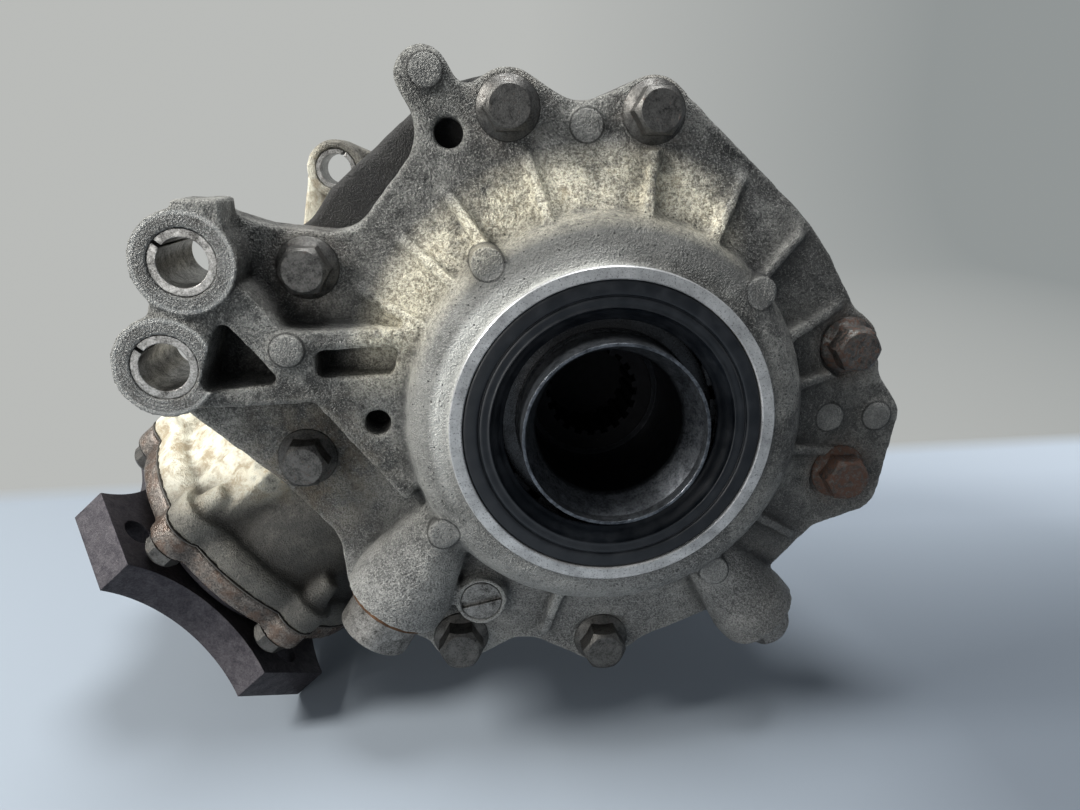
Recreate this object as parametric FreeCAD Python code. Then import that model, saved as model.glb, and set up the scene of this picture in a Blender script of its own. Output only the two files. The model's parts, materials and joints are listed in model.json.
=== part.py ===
import FreeCAD, Part
import math
import os

# Front differential, millimetres.
# The axle line is the Y axis, the machined nose face is y = 0 and +Z is up.
# The cover faces -Y, the main casing lies behind it and the pinion leaves down to the left.

vec = FreeCAD.Vector
origin = vec(0, 0, 0)
along_y = vec(0, 1, 0)

# Fits
slip = 0.02
running = 0.05
side_play = 0.1
oil_gap = 0.3

# Axle line
axle_bore_r = 24.0
journal_r = 30.0
journal_tip_r = 29.4
mouth_r = 28.4
mouth_depth = 14.0
near_tip_y = -5.0
far_face_y = 160.0
far_tip_y = 165.0

# Bearings on the axle line
axle_bearing = {"bore": journal_r, "outer": 47.5, "width": 23.0, "cup": 17.5, "count": 18,
                "roller": 4.3, "length": 14.5, "tilt": 12.0}
near_bearing_y = 14.0
near_shim = 1.5
far_shim = 1.5

# Output seals
seal_bore_r = 47.5
seal_width = 10.0
seal_lip_r = 34.5
seal_stop_r = 43.5

# Hypoid gear set
ring_teeth = 30
pinion_teeth = 11
pinion_pitch_r = 20.2
pinion_y = 79.0
hypoid_offset = 40.0
pinion_lean = 48.0
tooth_length = 22.0
ring_inner_r = 50.0
ring_outer_r = 77.0
ring_land_r = 57.5
tooth_half = 2.25
tooth_slope = 0.36
gap_half = 3.7
gap_flare = 1.7

# Differential case
case_wall = 6.0
case_cavity_r = 34.0
case_flange_r = 70.0
case_flange_width = 8.0
case_shoulder_r = 36.0
ring_bolt_circle_r = 61.0
ring_bolt_count = 10
ring_bolt_r = 5.0
cross_pin_r = 7.0
lock_pin_r = 2.5
window_half_width = 21.0
window_half_height = 19.0

# Bevel gears of the differential
side_teeth = 16
spider_teeth = 10
bevel_module = 3.25
bevel_face = 10.0
bevel_addendum = 0.75
bevel_dedendum = 1.0
bevel_backlash = 1.05
bevel_flank = 20.0
bevel_web = 0.6
side_back = 26.5
side_hub_r = 22.0
side_hub_end = 40.0
spline_minor_r = 15.0
spline_depth = 1.6
spline_count = 20
washer_thick = 1.3
side_web = 2.5

# Pinion line, distances along the shaft from its nearest point to the axle
head_bearing = {"bore": 17.5, "outer": 33.5, "width": 23.0, "cup": 18.0, "count": 14,
                "roller": 3.8, "length": 14.5, "tilt": 13.0}
tail_bearing = {"bore": 15.0, "outer": 31.0, "width": 19.0, "cup": 15.0, "count": 14,
                "roller": 3.6, "length": 11.5, "tilt": 13.0}
collar_start = ring_outer_r - 2.0
head_bearing_start = collar_start + 4.0
tail_bearing_start = head_bearing_start + 34.0
pinion_shim = 1.2
tube_end = tail_bearing_start + 23.0
carrier_width = 9.0
carrier_spigot_r = 40.0
carrier_spigot_start = tail_bearing_start - 4.0
carrier_gasket = 0.4
collar_r = 22.5
carrier_bolt_circle_r = 50.0
carrier_bolt_count = 6
carrier_bolt_r = 4.0
carrier_hole_r = 4.4
carrier_bolt_flange_r = 8.5
carrier_bolt_head = 6.5
carrier_boss_r = 9.3
shield_r = 39.5
carrier_nose_r = 40.5
coupling_back = tube_end + 19.0
coupling_width = 14.0
coupling_reach = 60.0
coupling_arm_half = 16.5
coupling_bolt_circle_r = 50.0
coupling_bolt_r = 5.2
coupling_hub_r = 20.0
pinion_seal_r = 30.0
spline_shaft_r = 13.0
nut_r = 17.0
nut_height = 13.0

# Cover
nose_r = 51.5
nose_height = 2.5
dome_r = 65.5
dome_y = 14.0
dome_foot_y = 19.0
cover_face_y = 26.0
gasket_y = 38.0
gasket_thick = 0.5
ring_clearance = 2.5
cavity_r = ring_outer_r + ring_clearance
drawn_cavity_r = 79.5
flange_r = 92.0
cover_cavity_y = 32.5
cover_slope_r = cavity_r + 10.5
bolt_ring_clear_r = 70.0
bolt_ring_clear_y = 29.5
rib_half = 1.9
rib_angles = (-35, -12, 8, 23, 42, 60, 80, 107, 125, 138, 152)
pad_r = 5.2

# Cover bolts
bolt_r = 5.0
bolt_hole_r = 5.4
bolt_flange_r = 10.0
bolt_flange_width = 2.5
bolt_head_width = 10.0
bolt_flats_r = 7.0
cover_bolt_length = 24.0
short_bolt_length = 19.5
bolt_marks = {"a": (-30.7, 96.5), "b": (14.8, 95.5), "c": (86.0, 20.0), "d": (87.5, -26.7),
              "e": (-99.4, -14.5), "f": (-94.4, 48.8), "g": (-50.0, -87.0), "h": (2.0, -90.5)}
short_bolts = ("e",)
dowel_r = 3.0
dowel_length = 12.0
dowel_angles = (50.0, -55.0)
dowel_circle_r = cavity_r + 6.3

# Mounting arm with its two sleeves
arm_front_y = 8.0
arm_back_y = 43.0
ear_upper = (-126.6, 52.8)
ear_lower = (-135.6, 21.8)
ear_r = 15.6
sleeve_bore_r = 7.4
sleeve_wall = 2.4
sleeve_split = 1.2
arm_web_y = 30.0

# Far mounting ear
far_ear = (-99.4, 77.2)
far_ear_r = 12.5
far_ear_y = (138.0, 160.0)
far_sleeve_wall = 2.0
far_sleeve_bore_r = 6.5

# Filler, drain and level plugs
fill_centre = (-73.0, -66.5)
fill_direction = -122.0
fill_y = 19.5
fill_boss_r = 18.0
fill_thread_r = 9.0
fill_head_r = 13.0
fill_head_width = 12.0
fill_washer_r = 15.5
drain_centre = (60.0, -80.0)
drain_direction = -50.0
drain_y = 20.5
drain_boss_r = 15.0
drain_thread_r = 7.0
drain_head_r = 9.5
drain_head_width = 6.0
plug_washer = 1.6
plug_thread_length = 12.0
boss_face_length = 9.0
boss_depth = 36.0
level_centre = (-42.5, -66.7)
level_r = 7.0
level_boss_r = 9.0
level_face_y = 15.0

# Main casing
casing_wall = 6.0
casing_flange_width = 14.0
belly_y = 72.0
far_boss_r = 58.0
tube_root_r = 43.0
tube_tip_r = 47.0
rim_r = 53.5
rim_width = 10.0
breather_y = 104.0
breather_seat_z = cavity_r + casing_wall - 2.5

lean = math.radians(pinion_lean)
pinion_dir = vec(-math.sin(lean), 0, -math.cos(lean))
offset_dir = vec(math.cos(lean), 0, -math.sin(lean))
pinion_foot = vec(0, pinion_y, 0) - offset_dir * hypoid_offset
mesh_reach = pinion_pitch_r * ring_teeth / pinion_teeth
pinion_module = 2 * pinion_pitch_r / pinion_teeth
pinion_tip_r = pinion_pitch_r + 0.75 * pinion_module
pinion_root_r = pinion_pitch_r - 0.75 * pinion_module - 0.4
ring_pitch_y = pinion_y - pinion_pitch_r
ring_tip_y = ring_pitch_y + 0.75 * pinion_module
ring_root_y = ring_pitch_y - 0.75 * pinion_module - 0.4
case_shoulder_y = near_bearing_y + axle_bearing["width"]
flange_y = case_shoulder_y + 1.0
ring_back_y = flange_y + case_flange_width
diff_y = 85.0
cavity_half = side_back + washer_thick + 0.2
case_end_y = diff_y + cavity_half + case_wall
far_bearing_y = case_end_y + axle_bearing["width"]
bevel_cone = bevel_module / 2 * math.hypot(side_teeth, spider_teeth)
side_angle = math.atan2(side_teeth, spider_teeth)
spider_angle = math.atan2(spider_teeth, side_teeth)
carrier_face = tube_end + carrier_gasket
carrier_nose_end = coupling_back - 3.0


def polar(radius, degrees):
    """Point of the XZ plane at a radius and an angle above +X."""
    turn = math.radians(degrees)
    return radius * math.cos(turn), radius * math.sin(turn)


def turned(profile, base=origin, axis=along_y):
    """Solid of revolution from (radius, distance) points about an axis through base.

    A point with four numbers is reached by an arc through its last two.
    """
    edges = []
    for before, after in zip(profile[-1:] + profile[:-1], profile):
        start, end = vec(before[0], 0, before[1]), vec(after[0], 0, after[1])
        if len(after) == 4:
            edges.append(Part.Arc(start, vec(after[2], 0, after[3]), end).toShape())
        else:
            edges.append(Part.LineSegment(start, end).toShape())
    solid = Part.Face(Part.Wire(edges)).revolve(origin, vec(0, 0, 1), 360)
    solid.Placement = FreeCAD.Placement(base, FreeCAD.Rotation(vec(0, 0, 1), axis))
    return solid


def rod(base, axis, radius, length):
    return Part.makeCylinder(radius, length, base, axis)


def tube(base, axis, inner, outer, length):
    return rod(base, axis, outer, length).cut(rod(base, axis, inner, length))


def tangent_outline(lobes, y):
    """Closed outline of lobes (x, z, r) joined by their tangents, listed anticlockwise.

    A negative r is a hollow that the outline passes on the other side.
    """
    spans = []
    for (x1, z1, r1), (x2, z2, r2) in zip(lobes, lobes[1:] + lobes[:1]):
        gap = complex(x2 - x1, z2 - z1)
        reach = math.sqrt(abs(gap) ** 2 - (r2 - r1) ** 2)
        heading = gap / complex(reach, r2 - r1)
        normal = heading * 1j
        spans.append((complex(x1, z1) - normal * r1, complex(x2, z2) - normal * r2))
    edges = []
    for index, (x, z, r) in enumerate(lobes):
        start, end = spans[index - 1][1], spans[index][0]
        centre = complex(x, z)
        if abs(end - start) > 0.01:
            turn = (end - centre) / (start - centre)
            sweep = math.atan2(turn.imag, turn.real)
            if r > 0 and sweep < 0:
                sweep += 2 * math.pi
            if r < 0 and sweep > 0:
                sweep -= 2 * math.pi
            half = complex(math.cos(sweep / 2), math.sin(sweep / 2))
            middle = centre + (start - centre) * half
            marks = [vec(q.real, y, q.imag) for q in (start, middle, end)]
            edges.append(Part.Arc(*marks).toShape())
        a, b = spans[index]
        edges.append(Part.LineSegment(vec(a.real, y, a.imag), vec(b.real, y, b.imag)).toShape())
    return Part.Wire(edges)


def plate(lobes, y0, y1):
    return Part.Face(tangent_outline(lobes, y0)).extrude(vec(0, y1 - y0, 0))


def in_plane(direction):
    """Unit vector in the XZ plane at an angle above +X."""
    x, z = polar(1, direction)
    return vec(x, 0, z)


def save(node, solids):
    shape = solids[0] if len(solids) == 1 else Part.makeCompound(solids)
    shape.exportStep("parts/" + node + ".step")


# Outline of the cover flange, anticlockwise from the lower right
drawn_lobes = [
    (87.0, -59.0, -12.0), (94.0, -33.5, 10.0), (100.0, -6.0, 8.3), (107.0, 12.0, -8.0),
    (86.0, 20.0, 11.0), (93.5, 38.5, -8.0), (0.0, 0.0, flange_r),
    (14.8, 95.5, 11.0), (-8.0, 113.0, -14.0), (-30.7, 96.5, 12.0), (-43.1, 108.4, -4.6),
    (-56.5, 106.0, 8.5), (-74.5, 90.0, -15.0), (-86.0, 74.0, -14.0),
    (-94.4, 48.8, 12.0), (-99.4, -14.5, 13.0), (-103.0, -49.0, -12.0),
    (-77.0, -67.0, 12.0), (-66.0, -93.0, -6.0), (-50.0, -87.0, 11.0), (-27.0, -103.0, -14.0),
    (2.0, -90.5, 11.0), (25.0, -104.0, -14.0), (0.0, 0.0, flange_r)]


def outward(x, z):
    """Point of the outline, moved out by as much as the cavity is larger than drawn."""
    reach = math.hypot(x, z)
    grow = (reach + cavity_r - drawn_cavity_r) / reach
    return x * grow, z * grow


def grown(lobes):
    moved = []
    for x, z, r in lobes:
        if x == z == 0:
            moved.append((0.0, 0.0, flange_r + cavity_r - drawn_cavity_r))
        else:
            moved.append(outward(x, z) + (r,))
    return moved


flange_lobes = grown(drawn_lobes)
cover_bolts = {name: outward(*centre) for name, centre in bolt_marks.items()}


def bearing_lines(size):
    """Apex distance and raceway angles of a taper bearing that share one apex."""
    mean_r = (size["bore"] + size["outer"]) / 2
    tilt = math.radians(size["tilt"])
    reach = mean_r / math.sin(tilt)
    half = math.atan(size["roller"] / reach)
    apex = size["width"] / 2 - mean_r / math.tan(tilt)
    return tilt, reach, half, apex


def bearing_point(size, distance, height):
    """Point (radius, axial) at a distance along the roller line and a height off it."""
    tilt, reach, half, apex = bearing_lines(size)
    radius = distance * math.sin(tilt) + height * math.cos(tilt)
    return radius, apex + distance * math.cos(tilt) - height * math.sin(tilt)


def bearing_cup(size, base, axis):
    tilt, reach, half, apex = bearing_lines(size)
    grow = math.tan(tilt + half)
    lift = running / math.cos(tilt + half)
    race = [(s, (s - apex) * grow + lift) for s in (0, size["cup"])]
    return turned([(size["outer"], 0), (race[0][1], 0), (race[1][1], size["cup"]),
                   (size["outer"], size["cup"])], base, axis)


def bearing_cone(size, base, axis):
    tilt, reach, half, apex = bearing_lines(size)
    first = reach - size["length"] / 2 - side_play
    last = reach + size["length"] / 2 + side_play
    race = [bearing_point(size, d, -d * math.tan(half) - running) for d in (first, last)]
    small_rib = bearing_point(size, first, -0.55 * size["roller"])
    large_rib = bearing_point(size, last, -0.35 * size["roller"])
    profile = [(size["bore"] + slip, 0), (small_rib[0], 0), small_rib, race[0], race[1],
               large_rib, (large_rib[0], size["width"]), (size["bore"] + slip, size["width"])]
    return turned(profile, base, axis)


def bearing_rollers(size, base, axis, allowance=0.0):
    """Tapered rollers set round the bearing, each pointing at the common apex."""
    tilt, reach, half, apex = bearing_lines(size)
    start = reach - size["length"] / 2 - allowance
    end = reach + size["length"] / 2 + allowance
    roller = Part.makeCone(start * math.tan(half) + allowance, end * math.tan(half) + allowance,
                           end - start, vec(0, 0, start), vec(0, 0, 1))
    roller.rotate(origin, vec(0, 1, 0), size["tilt"])
    roller.translate(vec(0, 0, apex))
    placed = []
    for index in range(size["count"]):
        copy = roller.copy()
        copy.rotate(origin, vec(0, 0, 1), 360 * index / size["count"])
        copy.Placement = FreeCAD.Placement(base, FreeCAD.Rotation(vec(0, 0, 1), axis)) * copy.Placement
        placed.append(copy)
    return placed


def bearing_cage(size, base, axis):
    tilt, reach, half, apex = bearing_lines(size)
    first = reach - size["length"] / 2 - 1.6
    last = reach + size["length"] / 2 + 1.6
    low, high = 0.2 * size["roller"], 0.2 * size["roller"] + 1.2
    strip = turned([bearing_point(size, first, low), bearing_point(size, last, low),
                    bearing_point(size, last, high), bearing_point(size, first, high)], base, axis)
    return strip.cut(bearing_rollers(size, base, axis, 0.15))


def save_bearing(name, size, base, axis):
    """Cup, cone and caged rollers from the small end at base towards the large end."""
    save(name + "_cup", [bearing_cup(size, base, axis)])
    save(name + "_cone", [bearing_cone(size, base, axis)])
    save(name + "_rollers", bearing_rollers(size, base, axis) + [bearing_cage(size, base, axis)])


def bevel_ray(cone_angle, height, across, scale):
    """Point of a bevel tooth section, scaled about the apex at the origin."""
    r = bevel_cone * math.sin(cone_angle) + height * math.cos(cone_angle)
    z = bevel_cone * math.cos(cone_angle) - height * math.sin(cone_angle)
    return vec(r * scale, across * scale, z * scale)


def bevel_gap(cone_angle):
    """Wedge between two straight bevel teeth, all its edges aimed at the apex."""
    half = (math.pi * bevel_module / 2 + bevel_backlash) / 2
    slope = math.tan(math.radians(bevel_flank))
    low, high = -bevel_dedendum * bevel_module, bevel_module * 1.3
    section = [(low, -(half + low * slope)), (low, half + low * slope),
               (high, half + high * slope), (high, -(half + high * slope))]
    wires = []
    for scale in (0.5, 1.12):
        points = [bevel_ray(cone_angle, h, w, scale) for h, w in section]
        wires.append(Part.makePolygon(points + points[:1]))
    return Part.makeLoft(wires, True, True)


def bevel_gear(blank, cone_angle, teeth):
    """Cut the teeth of a bevel gear whose apex is the origin and whose axis is +Z."""
    gap = bevel_gap(cone_angle)
    gaps = []
    for index in range(teeth):
        copy = gap.copy()
        copy.rotate(origin, vec(0, 0, 1), 360 * index / teeth)
        gaps.append(copy)
    return blank.cut(gaps)


def bevel_corner(cone_angle, height, scale=1.0):
    point = bevel_ray(cone_angle, height, 0, scale)
    return point.x, point.z


def side_gear():
    inner = 1 - bevel_face / bevel_cone
    tip, root = bevel_addendum * bevel_module, -bevel_dedendum * bevel_module
    back = bevel_corner(side_angle, root - bevel_web)
    front = bevel_corner(side_angle, root - bevel_web, inner)
    bore = spline_minor_r
    web_end = front[1] + side_web
    profile = [(0, web_end), (0, front[1]), front,
               bevel_corner(side_angle, tip, inner), bevel_corner(side_angle, tip), back,
               (back[0], side_back), (side_hub_r, side_back), (side_hub_r, side_hub_end),
               (bore, side_hub_end), (bore, web_end)]
    gear = bevel_gear(turned(profile, origin, vec(0, 0, 1)), side_angle, side_teeth)
    width = math.pi * (spline_minor_r + spline_depth) / spline_count
    slot = Part.makeBox(spline_minor_r + spline_depth, width, side_hub_end, vec(0, -width / 2, web_end))
    slots = []
    for index in range(spline_count):
        copy = slot.copy()
        copy.rotate(origin, vec(0, 0, 1), 360 * index / spline_count)
        slots.append(copy)
    return gear.cut(slots)


def spider_gear():
    inner = 1 - bevel_face / bevel_cone
    tip, root = bevel_addendum * bevel_module, -bevel_dedendum * bevel_module
    bore = cross_pin_r + running
    outer = bevel_corner(spider_angle, tip)
    profile = [(bore, bevel_corner(spider_angle, root, inner)[1]),
               bevel_corner(spider_angle, root, inner), bevel_corner(spider_angle, tip, inner),
               outer, (outer[0], case_cavity_r), (bore, case_cavity_r)]
    blank = turned(profile, origin, vec(0, 0, 1))
    ball = Part.makeSphere(case_cavity_r - washer_thick - side_play)
    return bevel_gear(blank, spider_angle, spider_teeth).common(ball)


def aim(shape, centre, axis):
    shape.Placement = FreeCAD.Placement(centre, FreeCAD.Rotation(vec(0, 0, 1), axis))
    return shape


def save_differential():
    centre = vec(0, diff_y, 0)
    up = vec(0, 0, 1)
    save("side_gear_near", [aim(side_gear(), centre, along_y * -1)])
    save("side_gear_far", [aim(side_gear(), centre, along_y)])
    save("spider_gear_upper", [aim(spider_gear(), centre, up)])
    save("spider_gear_lower", [aim(spider_gear(), centre, up * -1)])
    washers = [tube(centre + along_y * side * (side_back + side_play), along_y * side,
                    side_hub_r + side_play, side_hub_r + 6.0, washer_thick) for side in (-1, 1)]
    save("side_gear_washers", washers)
    shell = Part.makeSphere(case_cavity_r - side_play, centre)
    shell = shell.cut(Part.makeSphere(case_cavity_r - washer_thick, centre))
    caps = [shell.common(tube(centre, up * side, cross_pin_r + side_play, 15.0, case_cavity_r + 1))
            for side in (-1, 1)]
    save("spider_washers", caps)
    pin_half = case_cavity_r + case_wall
    pin = rod(centre - up * pin_half, up, cross_pin_r, 2 * pin_half)
    lock_z = pin_half - 4.0
    lock_start = centre + vec(0, -cross_pin_r - 6.0, lock_z)
    pin = pin.cut(rod(lock_start, along_y, lock_pin_r + slip, 2 * cross_pin_r + 12))
    save("cross_pin", [pin])
    save("lock_pin", [rod(lock_start, along_y, lock_pin_r, 2 * cross_pin_r + 12)])
    return lock_start, pin_half


def case_outer():
    half = case_cavity_r + case_wall + 2.0
    step = 24.0
    hub_start, hub_end = diff_y - side_hub_end, diff_y + side_hub_end
    return turned([
        (0, hub_start), (axle_bore_r, hub_start),
        (axle_bore_r, near_tip_y + mouth_depth), (mouth_r, near_tip_y + 4.0), (mouth_r, near_tip_y),
        (journal_tip_r, near_tip_y), (journal_tip_r, near_bearing_y - 3), (journal_r, near_bearing_y - 2),
        (journal_r, case_shoulder_y), (case_shoulder_r, case_shoulder_y), (case_shoulder_r, flange_y),
        (case_flange_r, flange_y), (case_flange_r, ring_back_y), (ring_inner_r - slip, ring_back_y),
        (ring_inner_r - slip, ring_root_y - 1.5), (half, ring_root_y + 5.0), (half, diff_y + step),
        (case_shoulder_r, case_end_y), (journal_r, case_end_y), (journal_r, far_bearing_y + 2),
        (journal_tip_r, far_bearing_y + 3), (journal_tip_r, far_tip_y), (mouth_r, far_tip_y),
        (mouth_r, far_tip_y - 4.0), (axle_bore_r, far_tip_y - mouth_depth), (axle_bore_r, hub_end),
        (0, hub_end)])


def save_case(lock_start, pin_half):
    centre = vec(0, diff_y, 0)
    case = case_outer()
    cavity = Part.makeSphere(case_cavity_r, centre)
    pocket_r = side_hub_r + 6.0 + side_play
    cavity = cavity.fuse(rod(centre - along_y * cavity_half, along_y, pocket_r, 2 * cavity_half))
    window = Part.makeBox(140, 2 * window_half_width, 2 * window_half_height,
                          centre - vec(70, window_half_width, window_half_height))
    hub_bore = rod(centre - along_y * side_hub_end, along_y, side_hub_r + running, 2 * side_hub_end)
    holes = [cavity, hub_bore, window.makeFillet(8, [e for e in window.Edges if abs(e.Length - 140) < 0.1])]
    holes.append(rod(centre - vec(0, 0, 60), vec(0, 0, 1), cross_pin_r + slip, 120))
    holes.append(rod(lock_start, along_y, lock_pin_r + slip, 2 * cross_pin_r + 12 + 30))
    for index in range(ring_bolt_count):
        x, z = polar(ring_bolt_circle_r, 360 * (index + 0.5) / ring_bolt_count)
        holes.append(rod(vec(x, flange_y - 1, z), along_y, ring_bolt_r + slip, case_flange_width + 2))
    save("differential_case", [case.cut(holes)])


def ring_gap():
    """Tooth gap of the ring gear along the pinion line, wider at both ends.

    A tooth of the pinion yaws across the gap as the ring turns, so the gap flares from the middle.
    """
    wires = []
    for reach in (-tooth_length, 0, tooth_length):
        flare = gap_flare * abs(reach) * 2 / tooth_length
        section = []
        for side in (-1, 1):
            ends = [(ring_root_y, gap_half - tooth_slope * (ring_pitch_y - ring_root_y)),
                    (ring_tip_y + 1, gap_half + tooth_slope * (ring_tip_y + 1 - ring_pitch_y))]
            for y, half in ends[::side * -1]:
                section.append(offset_dir * (hypoid_offset * -1 + side * (half + flare))
                               + pinion_dir * (mesh_reach + reach) + vec(0, y, 0))
        wires.append(Part.makePolygon(section + section[:1]))
    near = Part.makeLoft(wires[:2], True, True)
    return near.fuse(Part.makeLoft(wires[1:], True, True))


def ring_gear():
    tooth_inner = ring_land_r
    blank = turned([(ring_inner_r, ring_back_y), (ring_outer_r, ring_back_y), (ring_outer_r, ring_tip_y),
                    (tooth_inner, ring_tip_y), (tooth_inner - 1.0, ring_root_y - 0.8),
                    (ring_inner_r, ring_root_y - 0.8)])
    cuts = []
    gap = ring_gap()
    for index in range(ring_teeth):
        copy = gap.copy()
        copy.rotate(origin, along_y, 360 * index / ring_teeth)
        cuts.append(copy)
    for index in range(ring_bolt_count):
        x, z = polar(ring_bolt_circle_r, 360 * (index + 0.5) / ring_bolt_count)
        cuts.append(rod(vec(x, ring_back_y - 1, z), along_y, ring_bolt_r + slip, ring_root_y - ring_back_y - 1))
    return blank.cut(cuts)


def flange_bolt(length, shank_r, flange_r, flange_width, head_width, flats_r):
    """Flanged hexagon bolt along +Z, seated at z = 0 with its head below."""
    shank = rod(origin, vec(0, 0, 1), shank_r, length)
    flange = Part.makeCone(flats_r, flange_r, flange_width, vec(0, 0, -flange_width), vec(0, 0, 1))
    corner = flats_r / math.cos(math.pi / 6)
    points = [vec(corner * math.cos(math.pi / 3 * k), corner * math.sin(math.pi / 3 * k), -head_width)
              for k in range(6)]
    hexagon = Part.Face(Part.makePolygon(points + points[:1])).extrude(vec(0, 0, head_width))
    crown = Part.makeCone(flats_r - 0.8, flats_r - 0.8 + head_width, head_width,
                          vec(0, 0, -head_width), vec(0, 0, 1))
    return shank.fuse([flange, hexagon.common(crown)]).removeSplitter()


def save_ring_set():
    save("ring_gear", [ring_gear()])
    bolt = flange_bolt(case_flange_width + 6.0, ring_bolt_r, 7.5, 1.5, 6.5, 6.0)
    bolts = []
    for index in range(ring_bolt_count):
        x, z = polar(ring_bolt_circle_r, 360 * (index + 0.5) / ring_bolt_count)
        bolts.append(aim(bolt.copy(), vec(x, flange_y, z), along_y))
    save("ring_gear_bolts", bolts)


def pinion_point(distance):
    return pinion_foot + pinion_dir * distance


def pinion_teeth_solid():
    """Straight pinion teeth with flat flanks, cut so that a tooth points at the ring gear."""
    start = mesh_reach - tooth_length / 2
    blank = rod(pinion_point(start), pinion_dir, pinion_tip_r, tooth_length)
    gap_pitch = math.pi * pinion_module - 2 * tooth_half
    turn = 2 * math.pi / pinion_teeth
    section = []
    for radius, half in ((pinion_root_r, tooth_half + tooth_slope * (pinion_pitch_r - pinion_root_r)),
                         (pinion_tip_r + 1, tooth_half - tooth_slope * (pinion_tip_r + 1 - pinion_pitch_r))):
        section.append((radius, math.asin(half / radius)))
    gaps = []
    for index in range(pinion_teeth):
        marks = []
        for radius, angle in (section[0], section[1]):
            marks.append((radius, index * turn + angle))
        for radius, angle in (section[1], section[0]):
            marks.append((radius, (index + 1) * turn - angle))
        points = [pinion_point(start - 1) + along_y * (-r * math.cos(a)) + offset_dir * (r * math.sin(a))
                  for r, a in marks]
        face = Part.Face(Part.makePolygon(points + points[:1]))
        gaps.append(face.extrude(pinion_dir * (tooth_length + 2)))
    return blank.cut(gaps)


def save_pinion():
    start = mesh_reach - tooth_length / 2
    head_end = head_bearing_start
    flange_end = coupling_back + coupling_width
    nut_seat = flange_end - 4.0
    shaft = turned([
        (0, start), (pinion_root_r, start), (pinion_root_r, collar_start),
        (collar_r, collar_start), (collar_r, head_end), (head_bearing["bore"], head_end), (head_bearing["bore"], head_end + head_bearing["width"]),
        (tail_bearing["bore"], head_end + head_bearing["width"]),
        (tail_bearing["bore"], tail_bearing_start + tail_bearing["width"]),
        (spline_shaft_r, tail_bearing_start + tail_bearing["width"]), (spline_shaft_r, nut_seat),
        (10.0, nut_seat), (10.0, nut_seat + nut_height + 4), (0, nut_seat + nut_height + 4)],
        pinion_foot, pinion_dir)
    save("pinion_shaft", [shaft.fuse(pinion_teeth_solid()).removeSplitter()])
    spacer_start = head_end + head_bearing["width"]
    spacer_end = tail_bearing_start
    middle = (spacer_start + spacer_end) / 2
    save("crush_spacer", [turned([
        (tail_bearing["bore"] + slip, spacer_start), (tail_bearing["bore"] + 2.5, spacer_start),
        (tail_bearing["bore"] + 4.5, middle), (tail_bearing["bore"] + 2.5, spacer_end),
        (tail_bearing["bore"] + slip, spacer_end), (tail_bearing["bore"] + 2.0, middle)],
        pinion_foot, pinion_dir)])
    save_bearing("pinion_head_bearing", head_bearing,
                 pinion_point(head_end + head_bearing["width"]), pinion_dir * -1)
    save_bearing("pinion_tail_bearing", tail_bearing, pinion_point(tail_bearing_start), pinion_dir)
    save_coupling(tail_bearing_start + tail_bearing["width"], nut_seat)


def coupling_corners():
    """Four arm ends on the diagonals between the pinion offset and the axle line."""
    marks = []
    for index in range(4):
        turn = math.radians(45 + 90 * index)
        out = along_y * math.cos(turn) + offset_dir * math.sin(turn)
        side = pinion_dir.cross(out)
        marks.append((out, side))
    return marks


def save_coupling(hub_start, nut_seat):
    """Square companion flange with hollow sides, its hub, nut, washer and dust shield."""
    base = pinion_point(coupling_back)
    edges = []
    marks = coupling_corners()
    for index in range(4):
        out, side = marks[index]
        step = 1 if pinion_dir.cross(marks[0][0]).dot(marks[1][0]) > 0 else -1
        a = base + out * coupling_reach - side * coupling_arm_half * step
        b = base + out * coupling_reach + side * coupling_arm_half * step
        next_out, next_side = marks[(index + 1) % 4]
        c = base + next_out * coupling_reach - next_side * coupling_arm_half * step
        waist = base + (out + next_out) * (coupling_reach * 0.5)
        edges.append(Part.LineSegment(a, b).toShape())
        edges.append(Part.Arc(b, waist, c).toShape())
    body = Part.Face(Part.Wire(edges)).extrude(pinion_dir * coupling_width)
    trim = turned([(0, coupling_back - 1), (coupling_reach + 1.0, coupling_back - 1),
                   (coupling_reach + 4.0, coupling_back + 2.5),
                   (coupling_reach + 4.0, coupling_back + coupling_width), (0, coupling_back + coupling_width)],
                  pinion_foot, pinion_dir)
    hub = turned([(0, hub_start), (coupling_hub_r, hub_start), (coupling_hub_r, coupling_back - 1),
                  (coupling_hub_r + 6, coupling_back + 1), (0, coupling_back + 1)], pinion_foot, pinion_dir)
    body = body.common(trim).fuse(hub)
    cuts = [rod(pinion_point(hub_start - 1), pinion_dir, spline_shaft_r + slip, 80),
            rod(pinion_point(nut_seat), pinion_dir, 22.0, 30)]
    for out, side in marks:
        cuts.append(rod(pinion_point(coupling_back - 1) + out * coupling_bolt_circle_r, pinion_dir,
                        coupling_bolt_r, coupling_width + 2))
    save("companion_flange", [body.cut(cuts).removeSplitter()])
    save("dust_shield", [turned([
        (coupling_hub_r + slip, carrier_nose_end + oil_gap), (shield_r, carrier_nose_end + oil_gap),
        (shield_r, carrier_nose_end + oil_gap + 1.5),
        (coupling_hub_r + slip, carrier_nose_end + oil_gap + 1.5)],
        pinion_foot, pinion_dir)])
    save("nut_washer", [tube(pinion_point(nut_seat), pinion_dir, 10.0 + slip, 19.0, 3.0)])
    corner = nut_r
    points = [pinion_point(nut_seat + 3.0) + along_y * (corner * math.cos(math.pi / 3 * k))
              + offset_dir * (corner * math.sin(math.pi / 3 * k)) for k in range(6)]
    nut = Part.Face(Part.makePolygon(points + points[:1])).extrude(pinion_dir * nut_height)
    save("pinion_nut", [nut.cut(rod(pinion_point(nut_seat), pinion_dir, 10.0 + slip, 40))])


def at(point, y):
    return vec(point[0], y, point[1])


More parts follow.
